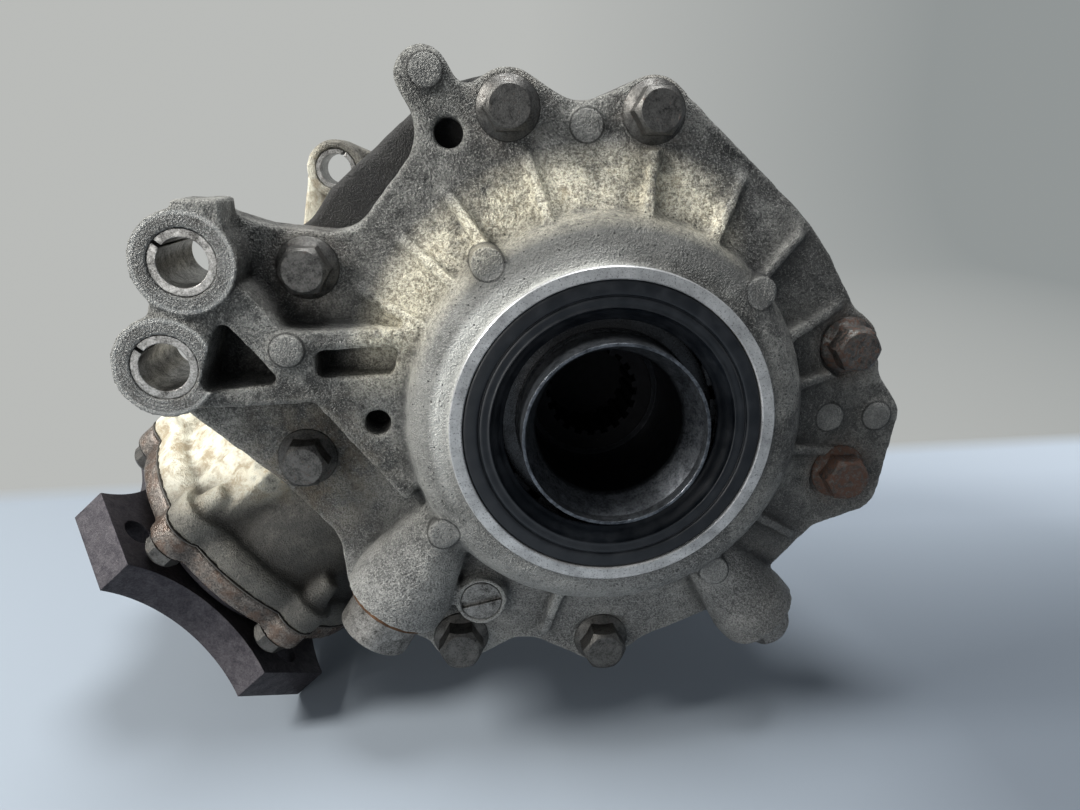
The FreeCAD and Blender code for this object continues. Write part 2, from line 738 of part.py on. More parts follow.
def wedge_of_axle(profile, half, degrees):
    """Rib of an (r, y) outline, centred on an angle of the XZ plane."""
    points = [vec(r, y, -half) for r, y in profile]
    rib = Part.Face(Part.makePolygon(points + points[:1])).extrude(vec(0, 0, 2 * half))
    rib.rotate(origin, along_y, -degrees)
    return rib


def cover_dome():
    middle_r = nose_r + (dome_r - nose_r) * 0.74
    middle_y = nose_height + (dome_y - nose_height) * 0.34
    return turned([(0, 0), (nose_r, 0), (nose_r, nose_height),
                   (dome_r, dome_y, middle_r, middle_y), (dome_r + 1.5, dome_foot_y),
                   (cover_slope_r, cover_face_y), (cover_slope_r, gasket_y), (0, gasket_y)])


def cover_ribs():
    profile = [(dome_r - 4, dome_foot_y), (dome_r - 2, dome_y - 1.5), (cover_slope_r - 3, cover_face_y - 3.5),
               (cover_slope_r + 1, cover_face_y + 1), (dome_r - 4, cover_face_y + 1)]
    return [wedge_of_axle(profile, rib_half, angle) for angle in rib_angles + (-103,)]


def arm_outline():
    return [(-60.0, -25.0, 4.0), (-55.0, 45.0, 4.0), (-94.4, 48.8, 12.0), (-103.0, 74.0, -12.0),
            ear_upper + (ear_r,), (-142.3, 40.6, -4.0), ear_lower + (ear_r,), (-99.4, -14.5, 13.0)]


def cover_arm():
    """Arm that carries the two mounting ears, with its raised frame and two pockets."""
    frame_lobes = [(-66.0, -25.0, 2.0), (-58.0, 0.0, 2.0), (-60.0, 28.0, 3.0), (-98.0, 36.5, -5.0),
                   (-113.0, 41.0, 4.5), (-124.0, 34.0, 3.0), (-136.0, 11.0, 3.0), (-93.8, 7.0, -1.2)]
    slope = [vec(-150, arm_front_y + 1, -60), vec(-112, arm_front_y + 1.5, -60),
             vec(-58, dome_y + 1.5, -60), vec(-58, gasket_y, -60), vec(-150, gasket_y, -60)]
    sloped = Part.Face(Part.makePolygon(slope + slope[:1])).extrude(vec(0, 0, 140))
    frame = plate(frame_lobes, 0, gasket_y).common(sloped)
    triangle = [(-118.0, 31.5, 2.5), (-123.0, 16.5, 2.5), (-106.0, 17.0, 2.0)]
    slot = [(-68.9, 23.3, 1.8), (-90.0, 22.9, 1.8), (-90.3, 18.2, 1.6), (-69.9, 18.2, 1.6)]
    pockets = [plate(lobes, arm_front_y - 2, arm_web_y) for lobes in (triangle, slot)]
    ears = [rod(at(centre, arm_front_y), along_y, ear_r, arm_back_y - arm_front_y)
            for centre in (ear_upper, ear_lower)]
    waist = plate([ear_upper + (ear_r / 2,), ear_lower + (ear_r / 2,)], arm_front_y + 1, arm_back_y - 2)
    step = Part.makeBox(14.0, 18.0, 12.0, vec(-128.0, arm_front_y, ear_upper[1] + ear_r - 9.5))
    web = plate(arm_outline(), cover_face_y, gasket_y)
    return web.fuse([frame] + ears + [waist, step]).cut(pockets)


def plug_boss(centre, y, direction, radius):
    """Round boss that ends at a centre and narrows as it runs back into the casting."""
    inward = in_plane(direction) * -1
    front = rod(at(centre, y), inward, radius, boss_face_length)
    back = Part.makeCone(radius, radius * 0.45, boss_depth, at(centre, y) + inward * boss_face_length, inward)
    return front.fuse(back)


def cover_pads():
    """Round ejector marks that stand a little proud of the casting."""
    marks = [(-38.7, 51.8, 5.5), (46.0, 41.9, 5.5), (-54.4, -36.0, 6.5), (38.3, -55.6, 9.0),
             (-99.8, 25.8, arm_front_y + 1.2), (-6.4, 91.5, cover_face_y - 1.2),
             (80.6, -5.0, cover_face_y - 3.8), (99.3, -5.9, cover_face_y - 1.1),
             (-55.4, 107.0, cover_face_y - 1.1)]
    return [rod(vec(x, y, z), along_y, pad_r, cover_face_y + 2 - y) for x, z, y in marks]


def cover_casting():
    body = plate(flange_lobes, cover_face_y, gasket_y)
    extra = [cover_dome(), cover_arm()] + cover_ribs() + cover_pads()
    extra.append(plug_boss(fill_centre, fill_y, fill_direction, fill_boss_r))
    extra.append(plug_boss(drain_centre, drain_y, drain_direction, drain_boss_r))
    extra.append(rod(at(level_centre, level_face_y), along_y, level_boss_r, gasket_y - level_face_y))
    body = body.fuse(extra)
    front = Part.makeBox(400, 60, 400, vec(-200, gasket_y, -200))
    front = front.cut(rod(at(ear_upper, 0), along_y, ear_r + 0.1, 100))
    front = front.cut(rod(at(ear_lower, 0), along_y, ear_r + 0.1, 100))
    return body.cut([front] + cover_cuts())


def cover_cuts():
    seat_y = near_bearing_y - near_shim
    tube_end_y = near_bearing_y + axle_bearing["cup"] + 2.0
    cuts = [turned([(0, -1), (seal_bore_r, -1), (seal_bore_r, seal_width), (seal_stop_r, seal_width),
                    (seal_stop_r, seat_y), (axle_bearing["outer"] + slip, seat_y),
                    (axle_bearing["outer"] + slip, gasket_y + 1), (0, gasket_y + 1)]),
            turned([(axle_bearing["outer"], tube_end_y), (53.0, tube_end_y), (53.0, bolt_ring_clear_y),
                    (bolt_ring_clear_r, bolt_ring_clear_y), (bolt_ring_clear_r + 3, cover_cavity_y),
                    (cavity_r, cover_cavity_y), (cavity_r, gasket_y + 1),
                    (axle_bearing["outer"], gasket_y + 1)])]
    for centre in cover_bolts.values():
        cuts.append(rod(at(centre, cover_face_y - 1), along_y, bolt_hole_r, gasket_y))
        cuts.append(rod(at(centre, 0), along_y, bolt_flange_r + 1.3, cover_face_y))
    cuts.append(rod(vec(-49.0, 10, 89.2), along_y, 4.5, 40))
    cuts.append(rod(vec(-74.3, 10, 0.7), along_y, 4.0, 18))
    for centre in (ear_upper, ear_lower):
        cuts.append(rod(at(centre, 0), along_y, sleeve_bore_r + sleeve_wall, 60))
    for degrees in dowel_angles:
        x, z = polar(dowel_circle_r, degrees)
        cuts.append(rod(vec(x, gasket_y - dowel_length / 2, z), along_y, dowel_r + slip, dowel_length))
    cuts.append(rod(at(fill_centre, fill_y), in_plane(fill_direction) * -1, fill_thread_r, 28.0))
    cuts.append(rod(at(fill_centre, fill_y), in_plane(fill_direction), fill_washer_r + oil_gap, 40.0))
    cuts.append(rod(at(drain_centre, drain_y), in_plane(drain_direction) * -1, drain_thread_r, 28.0))
    for centre, direction in ((fill_centre, fill_direction), (drain_centre, drain_direction)):
        inner = at(centre, fill_y) - in_plane(direction) * 24.0
        cuts.append(rod(inner, along_y, 4.5, 20))
    cuts.append(rod(at(level_centre, level_face_y - 1), along_y, level_r + slip, 13.0))
    return cuts


def casing_lobes():
    """The cover outline, but with a plain wall in place of the top ear's left edge."""
    start = drawn_lobes.index((-43.1, 108.4, -4.6))
    end = drawn_lobes.index((-94.4, 48.8, 12.0))
    wall = [(-50.0, 99.0, 5.0), (-84.9, 69.3, 4.0), (-103.5, 73.0, -13.5)]
    return grown(drawn_lobes[:start] + wall + drawn_lobes[end:])


def main_casing():
    back_y = gasket_y + gasket_thick
    outer_r = cavity_r + casing_wall
    body = plate(casing_lobes(), back_y, back_y + casing_flange_width)
    belly = turned([(0, back_y), (outer_r, back_y), (outer_r, belly_y),
                    (far_boss_r, case_end_y, outer_r - 5.0, belly_y + 24), (far_boss_r, far_face_y - 2),
                    (far_boss_r - 2, far_face_y), (0, far_face_y)])
    neck = turned([(0, 25.0), (tube_root_r, 25.0), (tube_root_r, 88.0),
                   (tube_tip_r, tube_end - rim_width), (rim_r - 3, tube_end - rim_width),
                   (rim_r, tube_end - rim_width + 3), (rim_r, tube_end), (0, tube_end)],
                  pinion_foot, pinion_dir)
    neck = neck.fuse([tube_flat()] + rim_bosses(tube_end - rim_width, rim_width))
    front = plate(flange_lobes, 0, back_y).fuse(plate(arm_outline(), 0, back_y))
    parts = [belly, neck.cut(front), far_ear_arm()]
    parts += [casing_rib(angle) for angle in (20, 60, 100, 150, 300, 340)]
    parts.append(rod(vec(0, breather_y, 40), vec(0, 0, 1), 8.0, breather_seat_z - 40))
    return body.fuse(parts).cut(casing_cuts(back_y))


def tube_flat():
    """Flat side of the pinion tube below its crest, with a round mark near the rim."""
    corners = [(-34.0, 34.0), (-20.0, 47.0), (46.0, 22.0), (50.0, 0.0), (0.0, 0.0)]
    points = [pinion_point(34.0) + offset_dir * u - along_y * v for u, v in corners]
    flat = Part.Face(Part.makePolygon(points + points[:1])).extrude(pinion_dir * (tube_end - rim_width - 33.0))
    crest, foot = points[1], points[2]
    normal = (foot - crest).cross(pinion_dir).normalize()
    if normal.y > 0:
        normal = normal * -1
    middle = crest + (foot - crest) * 0.74 + pinion_dir * (tube_end - rim_width - 45.0)
    return flat.fuse(rod(middle - normal * 3.0, normal, 4.6, 4.0))


def rim_bosses(start, width):
    return [rod(pinion_point(start) + mark, pinion_dir, carrier_boss_r, width) for mark in carrier_marks()]


def casing_rib(degrees):
    """Rib from the gasket flange back to the far bearing boss."""
    outer_r = cavity_r + casing_wall
    profile = [(far_boss_r - 3, far_face_y - 12), (far_boss_r + 4, far_face_y - 12),
               (outer_r + 4, belly_y + 10), (outer_r + 4, gasket_y + casing_flange_width),
               (outer_r - 3, gasket_y + casing_flange_width), (outer_r - 3, belly_y), (far_boss_r - 3, case_end_y)]
    return wedge_of_axle(profile, 2.5, degrees)


def far_ear_arm():
    low, high = far_ear_y
    lobes = [(0.0, 0.0, 45.0), far_ear + (far_ear_r,), (-107.0, 44.0, 11.0)]
    arm = plate(lobes, low + 6, high - 4)
    pocket = plate([(-62.0, 38.0, 5.0), (-84.0, 57.0, 4.0), (-94.0, 45.0, 4.0)], high - 12, high)
    return arm.cut(pocket).fuse(rod(at(far_ear, low), along_y, far_ear_r, high - low))


def casing_cuts(back_y):
    seat_y = far_bearing_y + far_shim
    cuts = [turned([(0, 0), (cavity_r, 0), (cavity_r, belly_y - 4),
                    (54.0, case_end_y - 3, cavity_r - 5.0, belly_y + 22), (axle_bearing["outer"] + slip, case_end_y),
                    (axle_bearing["outer"] + slip, seat_y), (seal_stop_r, seat_y),
                    (seal_stop_r, far_face_y - seal_width), (seal_bore_r, far_face_y - seal_width),
                    (seal_bore_r, far_face_y + 1), (0, far_face_y + 1)])]
    cup_end = head_bearing_start + head_bearing["width"]
    cuts.append(turned([
        (0, 30.0), (27.0, 30.0), (27.0, collar_start - 4), (head_bearing["outer"] + slip, collar_start - 4),
        (head_bearing["outer"] + slip, cup_end + pinion_shim), (30.0, cup_end + pinion_shim),
        (30.0, carrier_spigot_start - side_play), (carrier_spigot_r + slip, carrier_spigot_start - side_play),
        (carrier_spigot_r + slip, tube_end + 1), (0, tube_end + 1)], pinion_foot, pinion_dir))
    for name, centre in cover_bolts.items():
        depth = bolt_length(name) - (gasket_y - cover_face_y)
        cuts.append(rod(at(centre, gasket_y), along_y, bolt_r + slip, depth + oil_gap))
    for degrees in dowel_angles:
        x, z = polar(dowel_circle_r, degrees)
        cuts.append(rod(vec(x, gasket_y - 1, z), along_y, dowel_r + slip, dowel_length / 2 + 1))
    for mark in carrier_marks():
        cuts.append(rod(pinion_point(tube_end - rim_width - 6) + mark, pinion_dir, carrier_bolt_r + slip, 30))
    cuts.append(rod(at(far_ear, 100), along_y, far_sleeve_bore_r + far_sleeve_wall, 100))
    cuts.append(rod(vec(0, breather_y, 30), vec(0, 0, 1), 3.0 + slip, 60))
    return cuts


def carrier_marks():
    marks = []
    for index in range(carrier_bolt_count):
        turn = math.radians(360 * (index + 0.5) / carrier_bolt_count)
        marks.append((along_y * math.cos(turn) + offset_dir * math.sin(turn)) * carrier_bolt_circle_r)
    return marks


def pinion_carrier():
    """Flanged housing of the tail bearing and the pinion seal."""
    seat = tail_bearing_start - pinion_shim
    cup = tail_bearing["outer"] + slip
    face = carrier_face + carrier_width
    cup_end = tail_bearing_start + tail_bearing["width"] + 1.0
    ring = turned([(27.0, carrier_spigot_start), (carrier_spigot_r, carrier_spigot_start),
                   (carrier_spigot_r, carrier_face), (rim_r, carrier_face), (rim_r, face - 2),
                   (rim_r - 2, face), (carrier_nose_r, face), (carrier_nose_r, carrier_nose_end),
                   (pinion_seal_r, carrier_nose_end), (pinion_seal_r, carrier_nose_end - 9),
                   (26.5, carrier_nose_end - 9), (26.5, cup_end), (cup, cup_end), (cup, seat), (27.0, seat)],
                  pinion_foot, pinion_dir)
    bosses = rim_bosses(carrier_face, carrier_width)
    holes = [rod(pinion_point(carrier_face - 1) + mark, pinion_dir, carrier_hole_r, 30) for mark in carrier_marks()]
    return ring.fuse(bosses).cut(holes)


def seal_ring(outer, lip, width):
    """Lip seal along +Z from its outer face: flat rim, groove, cone and a lip that turns in."""
    rim = outer - 5.0
    return [(outer, 0.0), (rim, 0.0), (rim - 0.4, 0.8), (rim - 0.8, 0.0), (rim - 3.6, -0.3),
            (lip + 1.0, 2.0), (lip, 4.0), (lip + 1.2, 6.5), (lip + 3.5, 7.0), (lip + 2.5, 4.5),
            (rim - 3.0, 2.6), (outer - 2.0, 3.0), (outer - 2.0, width), (outer, width)]


def save_seals():
    near = [(r, s + 0.5) for r, s in seal_ring(seal_bore_r - slip, seal_lip_r, seal_width - 1.0)]
    save("axle_seal_near", [turned(near)])
    save("axle_seal_far", [turned(near, vec(0, far_face_y, 0), along_y * -1)])
    outer = [(r, s + 0.3) for r, s in seal_ring(pinion_seal_r - slip, coupling_hub_r + running, 8.0)]
    save("pinion_seal", [turned(outer, pinion_point(carrier_nose_end), pinion_dir * -1)])


def save_shims():
    inner = axle_bearing["outer"] - 4.0
    rings = [tube(vec(0, y, 0), along_y, inner, axle_bearing["outer"], near_shim)
             for y in (near_bearing_y - near_shim, far_bearing_y)]
    save("axle_shims", rings)
    head = head_bearing_start + head_bearing["width"]
    save("pinion_shims", [
        tube(pinion_point(head), pinion_dir, 31.0, head_bearing["outer"], pinion_shim),
        tube(pinion_point(tail_bearing_start - pinion_shim), pinion_dir, 27.0, tail_bearing["outer"], pinion_shim)])


def save_gaskets():
    sheet = plate(flange_lobes, gasket_y, gasket_y + gasket_thick)
    sheet = sheet.common(plate(casing_lobes(), gasket_y - 1, gasket_y + 2))
    cuts = [rod(vec(0, gasket_y - 1, 0), along_y, cavity_r, 4)]
    cuts += [rod(at(centre, gasket_y - 1), along_y, bolt_hole_r, 4) for centre in cover_bolts.values()]
    for degrees in dowel_angles:
        x, z = polar(dowel_circle_r, degrees)
        cuts.append(rod(vec(x, gasket_y - 1, z), along_y, dowel_r + slip, 4))
    cuts.append(rod(vec(-49.0, gasket_y - 1, 89.2), along_y, 4.5, 4))
    save("cover_gasket", [sheet.cut(cuts)])
    ring = tube(pinion_point(tube_end), pinion_dir, carrier_spigot_r, rim_r, carrier_gasket)
    ring = ring.fuse(rim_bosses(tube_end, carrier_gasket))
    ring = ring.cut(rod(pinion_point(tube_end - 1), pinion_dir, carrier_spigot_r + slip, 3.0))
    holes = [rod(pinion_point(tube_end - 1) + mark, pinion_dir, carrier_hole_r, 3) for mark in carrier_marks()]
    save("carrier_gasket", [ring.cut(holes)])


def bolt_length(name):
    """Shank length of a cover bolt; one stops short of the pinion bearing."""
    return short_bolt_length if name in short_bolts else cover_bolt_length


def save_fasteners():
    bolts = []
    for name, centre in cover_bolts.items():
        bolt = flange_bolt(bolt_length(name), bolt_r, bolt_flange_r, bolt_flange_width,
                           bolt_head_width, bolt_flats_r)
        bolts.append(aim(bolt, at(centre, cover_face_y), along_y))
    save("cover_bolts", bolts)
    length = carrier_width + carrier_gasket + rim_width - 1.0
    small = flange_bolt(length, carrier_bolt_r, carrier_bolt_flange_r, 1.5, carrier_bolt_head, 6.0)
    seat = carrier_face + carrier_width
    save("carrier_bolts", [aim(small.copy(), pinion_point(seat) + mark, pinion_dir * -1)
                           for mark in carrier_marks()])
    dowels = []
    for degrees in dowel_angles:
        x, z = polar(dowel_circle_r, degrees)
        dowels.append(rod(vec(x, gasket_y - dowel_length / 2 + 0.3, z), along_y, dowel_r, dowel_length - 0.6))
    save("cover_dowels", dowels)


def split_sleeve(centre, y0, y1, bore, wall, slit_angle):
    sleeve = tube(at(centre, y0), along_y, bore, bore + wall - slip, y1 - y0)
    slit = Part.makeBox(bore + wall + 2, y1 - y0 + 2, sleeve_split, vec(0, y0 - 1, -sleeve_split / 2))
    slit.rotate(origin, along_y, -slit_angle)
    slit.translate(at(centre, 0))
    return sleeve.cut(slit)


def save_sleeves():
    near = [split_sleeve(centre, arm_front_y + 0.5, arm_back_y - 0.5, sleeve_bore_r, sleeve_wall, 140)
            for centre in (ear_upper, ear_lower)]
    save("arm_sleeves", near)
    low, high = far_ear_y
    save("far_ear_sleeve", [split_sleeve(far_ear, low + 0.5, high - 0.5, far_sleeve_bore_r, far_sleeve_wall, 60)])


def save_plugs():
    out = in_plane(fill_direction)
    base = at(fill_centre, fill_y)
    save("fill_washer", [tube(base, out, fill_thread_r, fill_washer_r, plug_washer)])
    head = rod(base + out * plug_washer, out, fill_head_r, fill_head_width)
    head = head.fuse(rod(base - out * plug_thread_length, out, fill_thread_r - slip, plug_thread_length + 4))
    socket = [base + out * (plug_washer + 5) + along_y * (6.5 * math.cos(math.pi / 3 * k))
              + vec(-out.z, 0, out.x) * (6.5 * math.sin(math.pi / 3 * k)) for k in range(6)]
    hexagon = Part.Face(Part.makePolygon(socket + socket[:1])).extrude(out * 20)
    save("fill_plug", [head.cut(hexagon)])
    out = in_plane(drain_direction)
    base = at(drain_centre, drain_y)
    save("drain_washer", [tube(base, out, drain_thread_r, drain_head_r + 1.5, plug_washer)])
    bolt = flange_bolt(plug_thread_length + plug_washer, drain_thread_r - slip, drain_head_r + 1, 2.0,
                       drain_head_width + 2, drain_head_r - 2)
    save("drain_plug", [aim(bolt, base + out * plug_washer, out * -1)])
    plug = rod(at(level_centre, level_face_y + 0.8), along_y, level_r, 9.0)
    slot = Part.makeBox(2 * level_r + 2, 2.0, 2.2, vec(-level_r - 1, 0, -1.1))
    slot.rotate(origin, along_y, -12)
    slot.translate(at(level_centre, level_face_y))
    save("level_plug", [plug.cut(slot)])
    stem = turned([(0, -15.0), (3.0, -15.0), (3.0, 0), (6.0, 0), (6.0, 3.5), (4.0, 3.5), (4.0, 10.5),
                   (5.5, 11.5), (5.5, 16.5), (4.5, 17.5), (0, 17.5)],
                  vec(0, breather_y, breather_seat_z), vec(0, 0, 1))
    save("breather", [stem])


def main():
    os.makedirs("parts", exist_ok=True)
    save("cover_casting", [cover_casting()])
    save("main_casing", [main_casing()])
    save("pinion_carrier", [pinion_carrier()])
    save_gaskets()
    save_fasteners()
    save_sleeves()
    save_plugs()
    save_seals()
    save_shims()
    save_bearing("near_axle_bearing", axle_bearing, vec(0, near_bearing_y, 0), along_y)
    save_bearing("far_axle_bearing", axle_bearing, vec(0, far_bearing_y, 0), along_y * -1)
    lock_start, pin_half = save_differential()
    save_case(lock_start, pin_half)
    save_ring_set()
    save_pinion()


main()
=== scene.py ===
import bmesh
import bpy
import json
import math
import numpy as np
from mathutils import Matrix, Vector


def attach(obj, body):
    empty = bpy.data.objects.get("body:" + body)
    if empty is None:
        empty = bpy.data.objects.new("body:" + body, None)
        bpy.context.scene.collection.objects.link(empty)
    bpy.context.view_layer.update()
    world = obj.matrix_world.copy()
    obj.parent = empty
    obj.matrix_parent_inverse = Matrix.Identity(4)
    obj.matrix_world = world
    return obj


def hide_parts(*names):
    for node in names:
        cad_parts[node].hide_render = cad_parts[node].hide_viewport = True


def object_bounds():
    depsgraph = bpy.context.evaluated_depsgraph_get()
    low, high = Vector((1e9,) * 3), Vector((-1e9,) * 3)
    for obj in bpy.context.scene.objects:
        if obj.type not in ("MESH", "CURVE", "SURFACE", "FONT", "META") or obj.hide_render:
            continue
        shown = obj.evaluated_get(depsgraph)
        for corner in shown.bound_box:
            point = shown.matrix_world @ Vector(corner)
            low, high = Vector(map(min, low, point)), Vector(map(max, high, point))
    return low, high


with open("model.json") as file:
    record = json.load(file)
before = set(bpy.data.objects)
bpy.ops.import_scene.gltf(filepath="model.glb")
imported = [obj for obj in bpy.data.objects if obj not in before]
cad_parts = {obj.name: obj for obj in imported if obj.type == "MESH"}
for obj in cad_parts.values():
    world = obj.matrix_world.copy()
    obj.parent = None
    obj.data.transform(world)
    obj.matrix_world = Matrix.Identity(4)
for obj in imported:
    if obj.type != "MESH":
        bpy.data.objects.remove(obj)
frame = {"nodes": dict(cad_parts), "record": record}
nodes = frame["nodes"]
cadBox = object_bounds()
print("frame loaded,", len(nodes), "nodes")

cameraSettings = {
    # place in metres and the three directions of the camera's frame; lens and sensor in mm
    "place": (-0.0463, -0.2367, 0.0818),
    "right": (0.9953, -0.0963, 0.0),
    "up": (0.0281, 0.2900, 0.9567),
    "back": (-0.0921, -0.9520, 0.2913),
    "lens": 27.03,
    "sensor": 36.0,
    "clipStart": 0.01,
}


def makeCamera(settings):
    camera = bpy.data.cameras.new("photoCamera")
    camera.lens = settings["lens"]
    camera.sensor_width = settings["sensor"]
    camera.clip_start = settings["clipStart"]
    body = bpy.data.objects.new("photoCamera", camera)
    bpy.context.scene.collection.objects.link(body)
    columns = [settings["right"], settings["up"], settings["back"]]
    turn = np.array(columns, float).T
    turn /= np.linalg.norm(turn, axis=0)
    matrix = np.eye(4)
    matrix[:3, :3] = turn
    matrix[:3, 3] = settings["place"]
    body.matrix_world = Matrix(matrix.tolist())
    bpy.context.scene.camera = body


def gridFaces(rows, columns, closedRows=False, closedColumns=False):
    # quads of a grid of points numbered row by row; closed ways join the last to the first
    i = np.arange(rows if closedRows else rows - 1)
    j = np.arange(columns if closedColumns else columns - 1)
    i, j = np.meshgrid(i, j, indexing="ij")
    nextI, nextJ = (i + 1) % rows, (j + 1) % columns
    corners = [i * columns + j, i * columns + nextJ, nextI * columns + nextJ, nextI * columns + j]
    return np.stack(corners, axis=-1).reshape(-1, 4)


def meshFrom(name, points, faces, smooth=True):
    mesh = bpy.data.meshes.new(name)
    mesh.from_pydata(np.asarray(points, float).reshape(-1, 3).tolist(), [], np.asarray(faces).tolist())
    mesh.update()
    mesh.polygons.foreach_set("use_smooth", np.full(len(mesh.polygons), smooth))
    thing = bpy.data.objects.new(name, mesh)
    bpy.context.scene.collection.objects.link(thing)
    return thing


floorSettings = {
    # lengths in metres; bands give the low and high end of a soft change and, where it falls, its two levels
    "drop": 0.0004,  # below the object's lowest point
    "halfSize": 3.0,
    "columns": 9,
    "wallDistance": 1.60,
    "bendRadius": 0.35,
    "bendSteps": 24,
    "roughness": 0.75,
    "floorColour": (0.26, 0.295, 0.335),
    # painted light: the floor is lighter towards the far right
    "floorPaintedLight": (0.50, 0.56, 0.63),
    "paintedLightAcross": (-0.10, 0.40),
    "paintedLightDepth": (0.03, 0.25),
    # painted shadow: a darker patch on the near floor to the right of the object
    "floorPaintedShadow": (0.090, 0.108, 0.130),
    "paintedShadowAcross": (-0.02, 0.14),
    "paintedShadowDepth": (0.02, 0.18, 1.0, 0.0),
    "paintedShadowShare": 0.8,
    # painted light on the backdrop: lighter at the left, darker to the right
    "backdropLitLeft": (0.49, 0.50, 0.485),
    "backdropShadedRight": (0.285, 0.305, 0.305),
    "backdropFalloffAcross": (0.1, 1.0),
    "tableEdge": (0.273, 0.301),
    "edgeTurn": 0.05,
}


def makeStage(settings):
    # floor and wall: one sheet whose section is flat, then a quarter circle, then upright
    low = cadBox[0].z - settings["drop"]
    bend = settings["bendRadius"]
    reach = settings["wallDistance"]
    angle = np.linspace(0, math.pi / 2, settings["bendSteps"])
    y = np.concatenate([[-settings["halfSize"]], reach - bend + bend * np.sin(angle), [reach]])
    z = np.concatenate([[low], low + bend - bend * np.cos(angle), [low + settings["halfSize"]]])
    x = np.linspace(-settings["halfSize"], settings["halfSize"], settings["columns"])
    points = np.stack([np.tile(x, (len(y), 1)), np.repeat(y[:, None], len(x), 1),
                       np.repeat(z[:, None], len(x), 1)], axis=-1)
    floor = meshFrom("stageFloor", points, gridFaces(len(y), len(x)))
    floor.data.materials.append(stageFinish("stagePaper", settings))


def stageFinish(name, settings):
    material, shader, tree = newMaterial(name, 0.0, settings["roughness"])
    x, depth, _ = tree.axes()
    # painted light on the far right of the floor, then a painted shadow on the near floor to the right
    pale = tree.times(tree.band(x, *settings["paintedLightAcross"]), tree.band(depth, *settings["paintedLightDepth"]))
    tone = tree.mix(pale, settings["floorColour"], settings["floorPaintedLight"])
    dim = tree.times(tree.band(x, *settings["paintedShadowAcross"]), tree.band(depth, *settings["paintedShadowDepth"]))
    tone = tree.mix(tree.times(dim, settings["paintedShadowShare"]), tone, settings["floorPaintedShadow"])
    tree.link(tone, shader.inputs["Base Color"])
    # behind the table edge the camera, metal and glass see a backdrop with painted light, lighter at the left and
    # darker to the right, which lights nothing
    far = tree.math("SUBTRACT", depth, tree.times(x, settings["edgeTurn"]))
    behind = tree.band(far, *settings["tableEdge"])
    rays = tree.add("ShaderNodeLightPath").outputs
    mirrored = tree.math("MAXIMUM", rays["Is Glossy Ray"], rays["Is Transmission Ray"])
    seen = tree.math("MAXIMUM", rays["Is Camera Ray"], mirrored)
    wall = tree.mix(tree.band(x, *settings["backdropFalloffAcross"]), settings["backdropLitLeft"], settings["backdropShadedRight"])
    backdrop = tree.add("ShaderNodeEmission")
    tree.link(wall, backdrop.inputs["Color"])
    blend = tree.add("ShaderNodeMixShader")
    tree.link(tree.times(behind, seen), blend.inputs[0])
    tree.link(shader.outputs[0], blend.inputs[1])
    tree.link(backdrop.outputs[0], blend.inputs[2])
    tree.link(blend.outputs[0], material.node_tree.nodes["Material Output"].inputs["Surface"])
    return material


lampSettings = [
    # name, place, aims at, size, watts, colour
    ("windowLamp", (-0.95, -0.16, 0.66), (-0.02, 0.02, 0.0), 0.36, 18.0, (1.0, 0.985, 0.95)),
    ("topLamp", (0.02, 0.05, 1.05), (0.0, 0.03, 0.0), 0.45, 12.0, (0.97, 0.985, 1.0)),
    ("frontLamp", (-0.75, -1.05, 0.02), (0.0, 0.0, 0.0), 0.80, 8.0, (1.0, 0.99, 0.97)),
    ("rightLamp", (1.10, -0.45, 0.10), (0.0, 0.05, 0.0), 0.50, 0.9, (0.90, 0.95, 1.0)),
]

worldSettings = {"colour": (0.78, 0.84, 0.92, 1), "strength": 0.30}


def makeLamps(settings, room):
    for name, place, target, size, watts, colour in settings:
        lamp = bpy.data.lights.new(name, "AREA")
        lamp.shape = "DISK"
        lamp.size = size
        lamp.energy = watts
        lamp.color = colour
        body = bpy.data.objects.new(name, lamp)
        body.location = place
        way = Vector(target) - Vector(place)
        body.rotation_euler = way.to_track_quat("-Z", "Y").to_euler()
        bpy.context.scene.collection.objects.link(body)
    world = bpy.data.worlds.new("softRoom")
    world.use_nodes = True
    world.node_tree.nodes["Background"].inputs[0].default_value = room["colour"]
    world.node_tree.nodes["Background"].inputs[1].default_value = room["strength"]
    bpy.context.scene.world = world


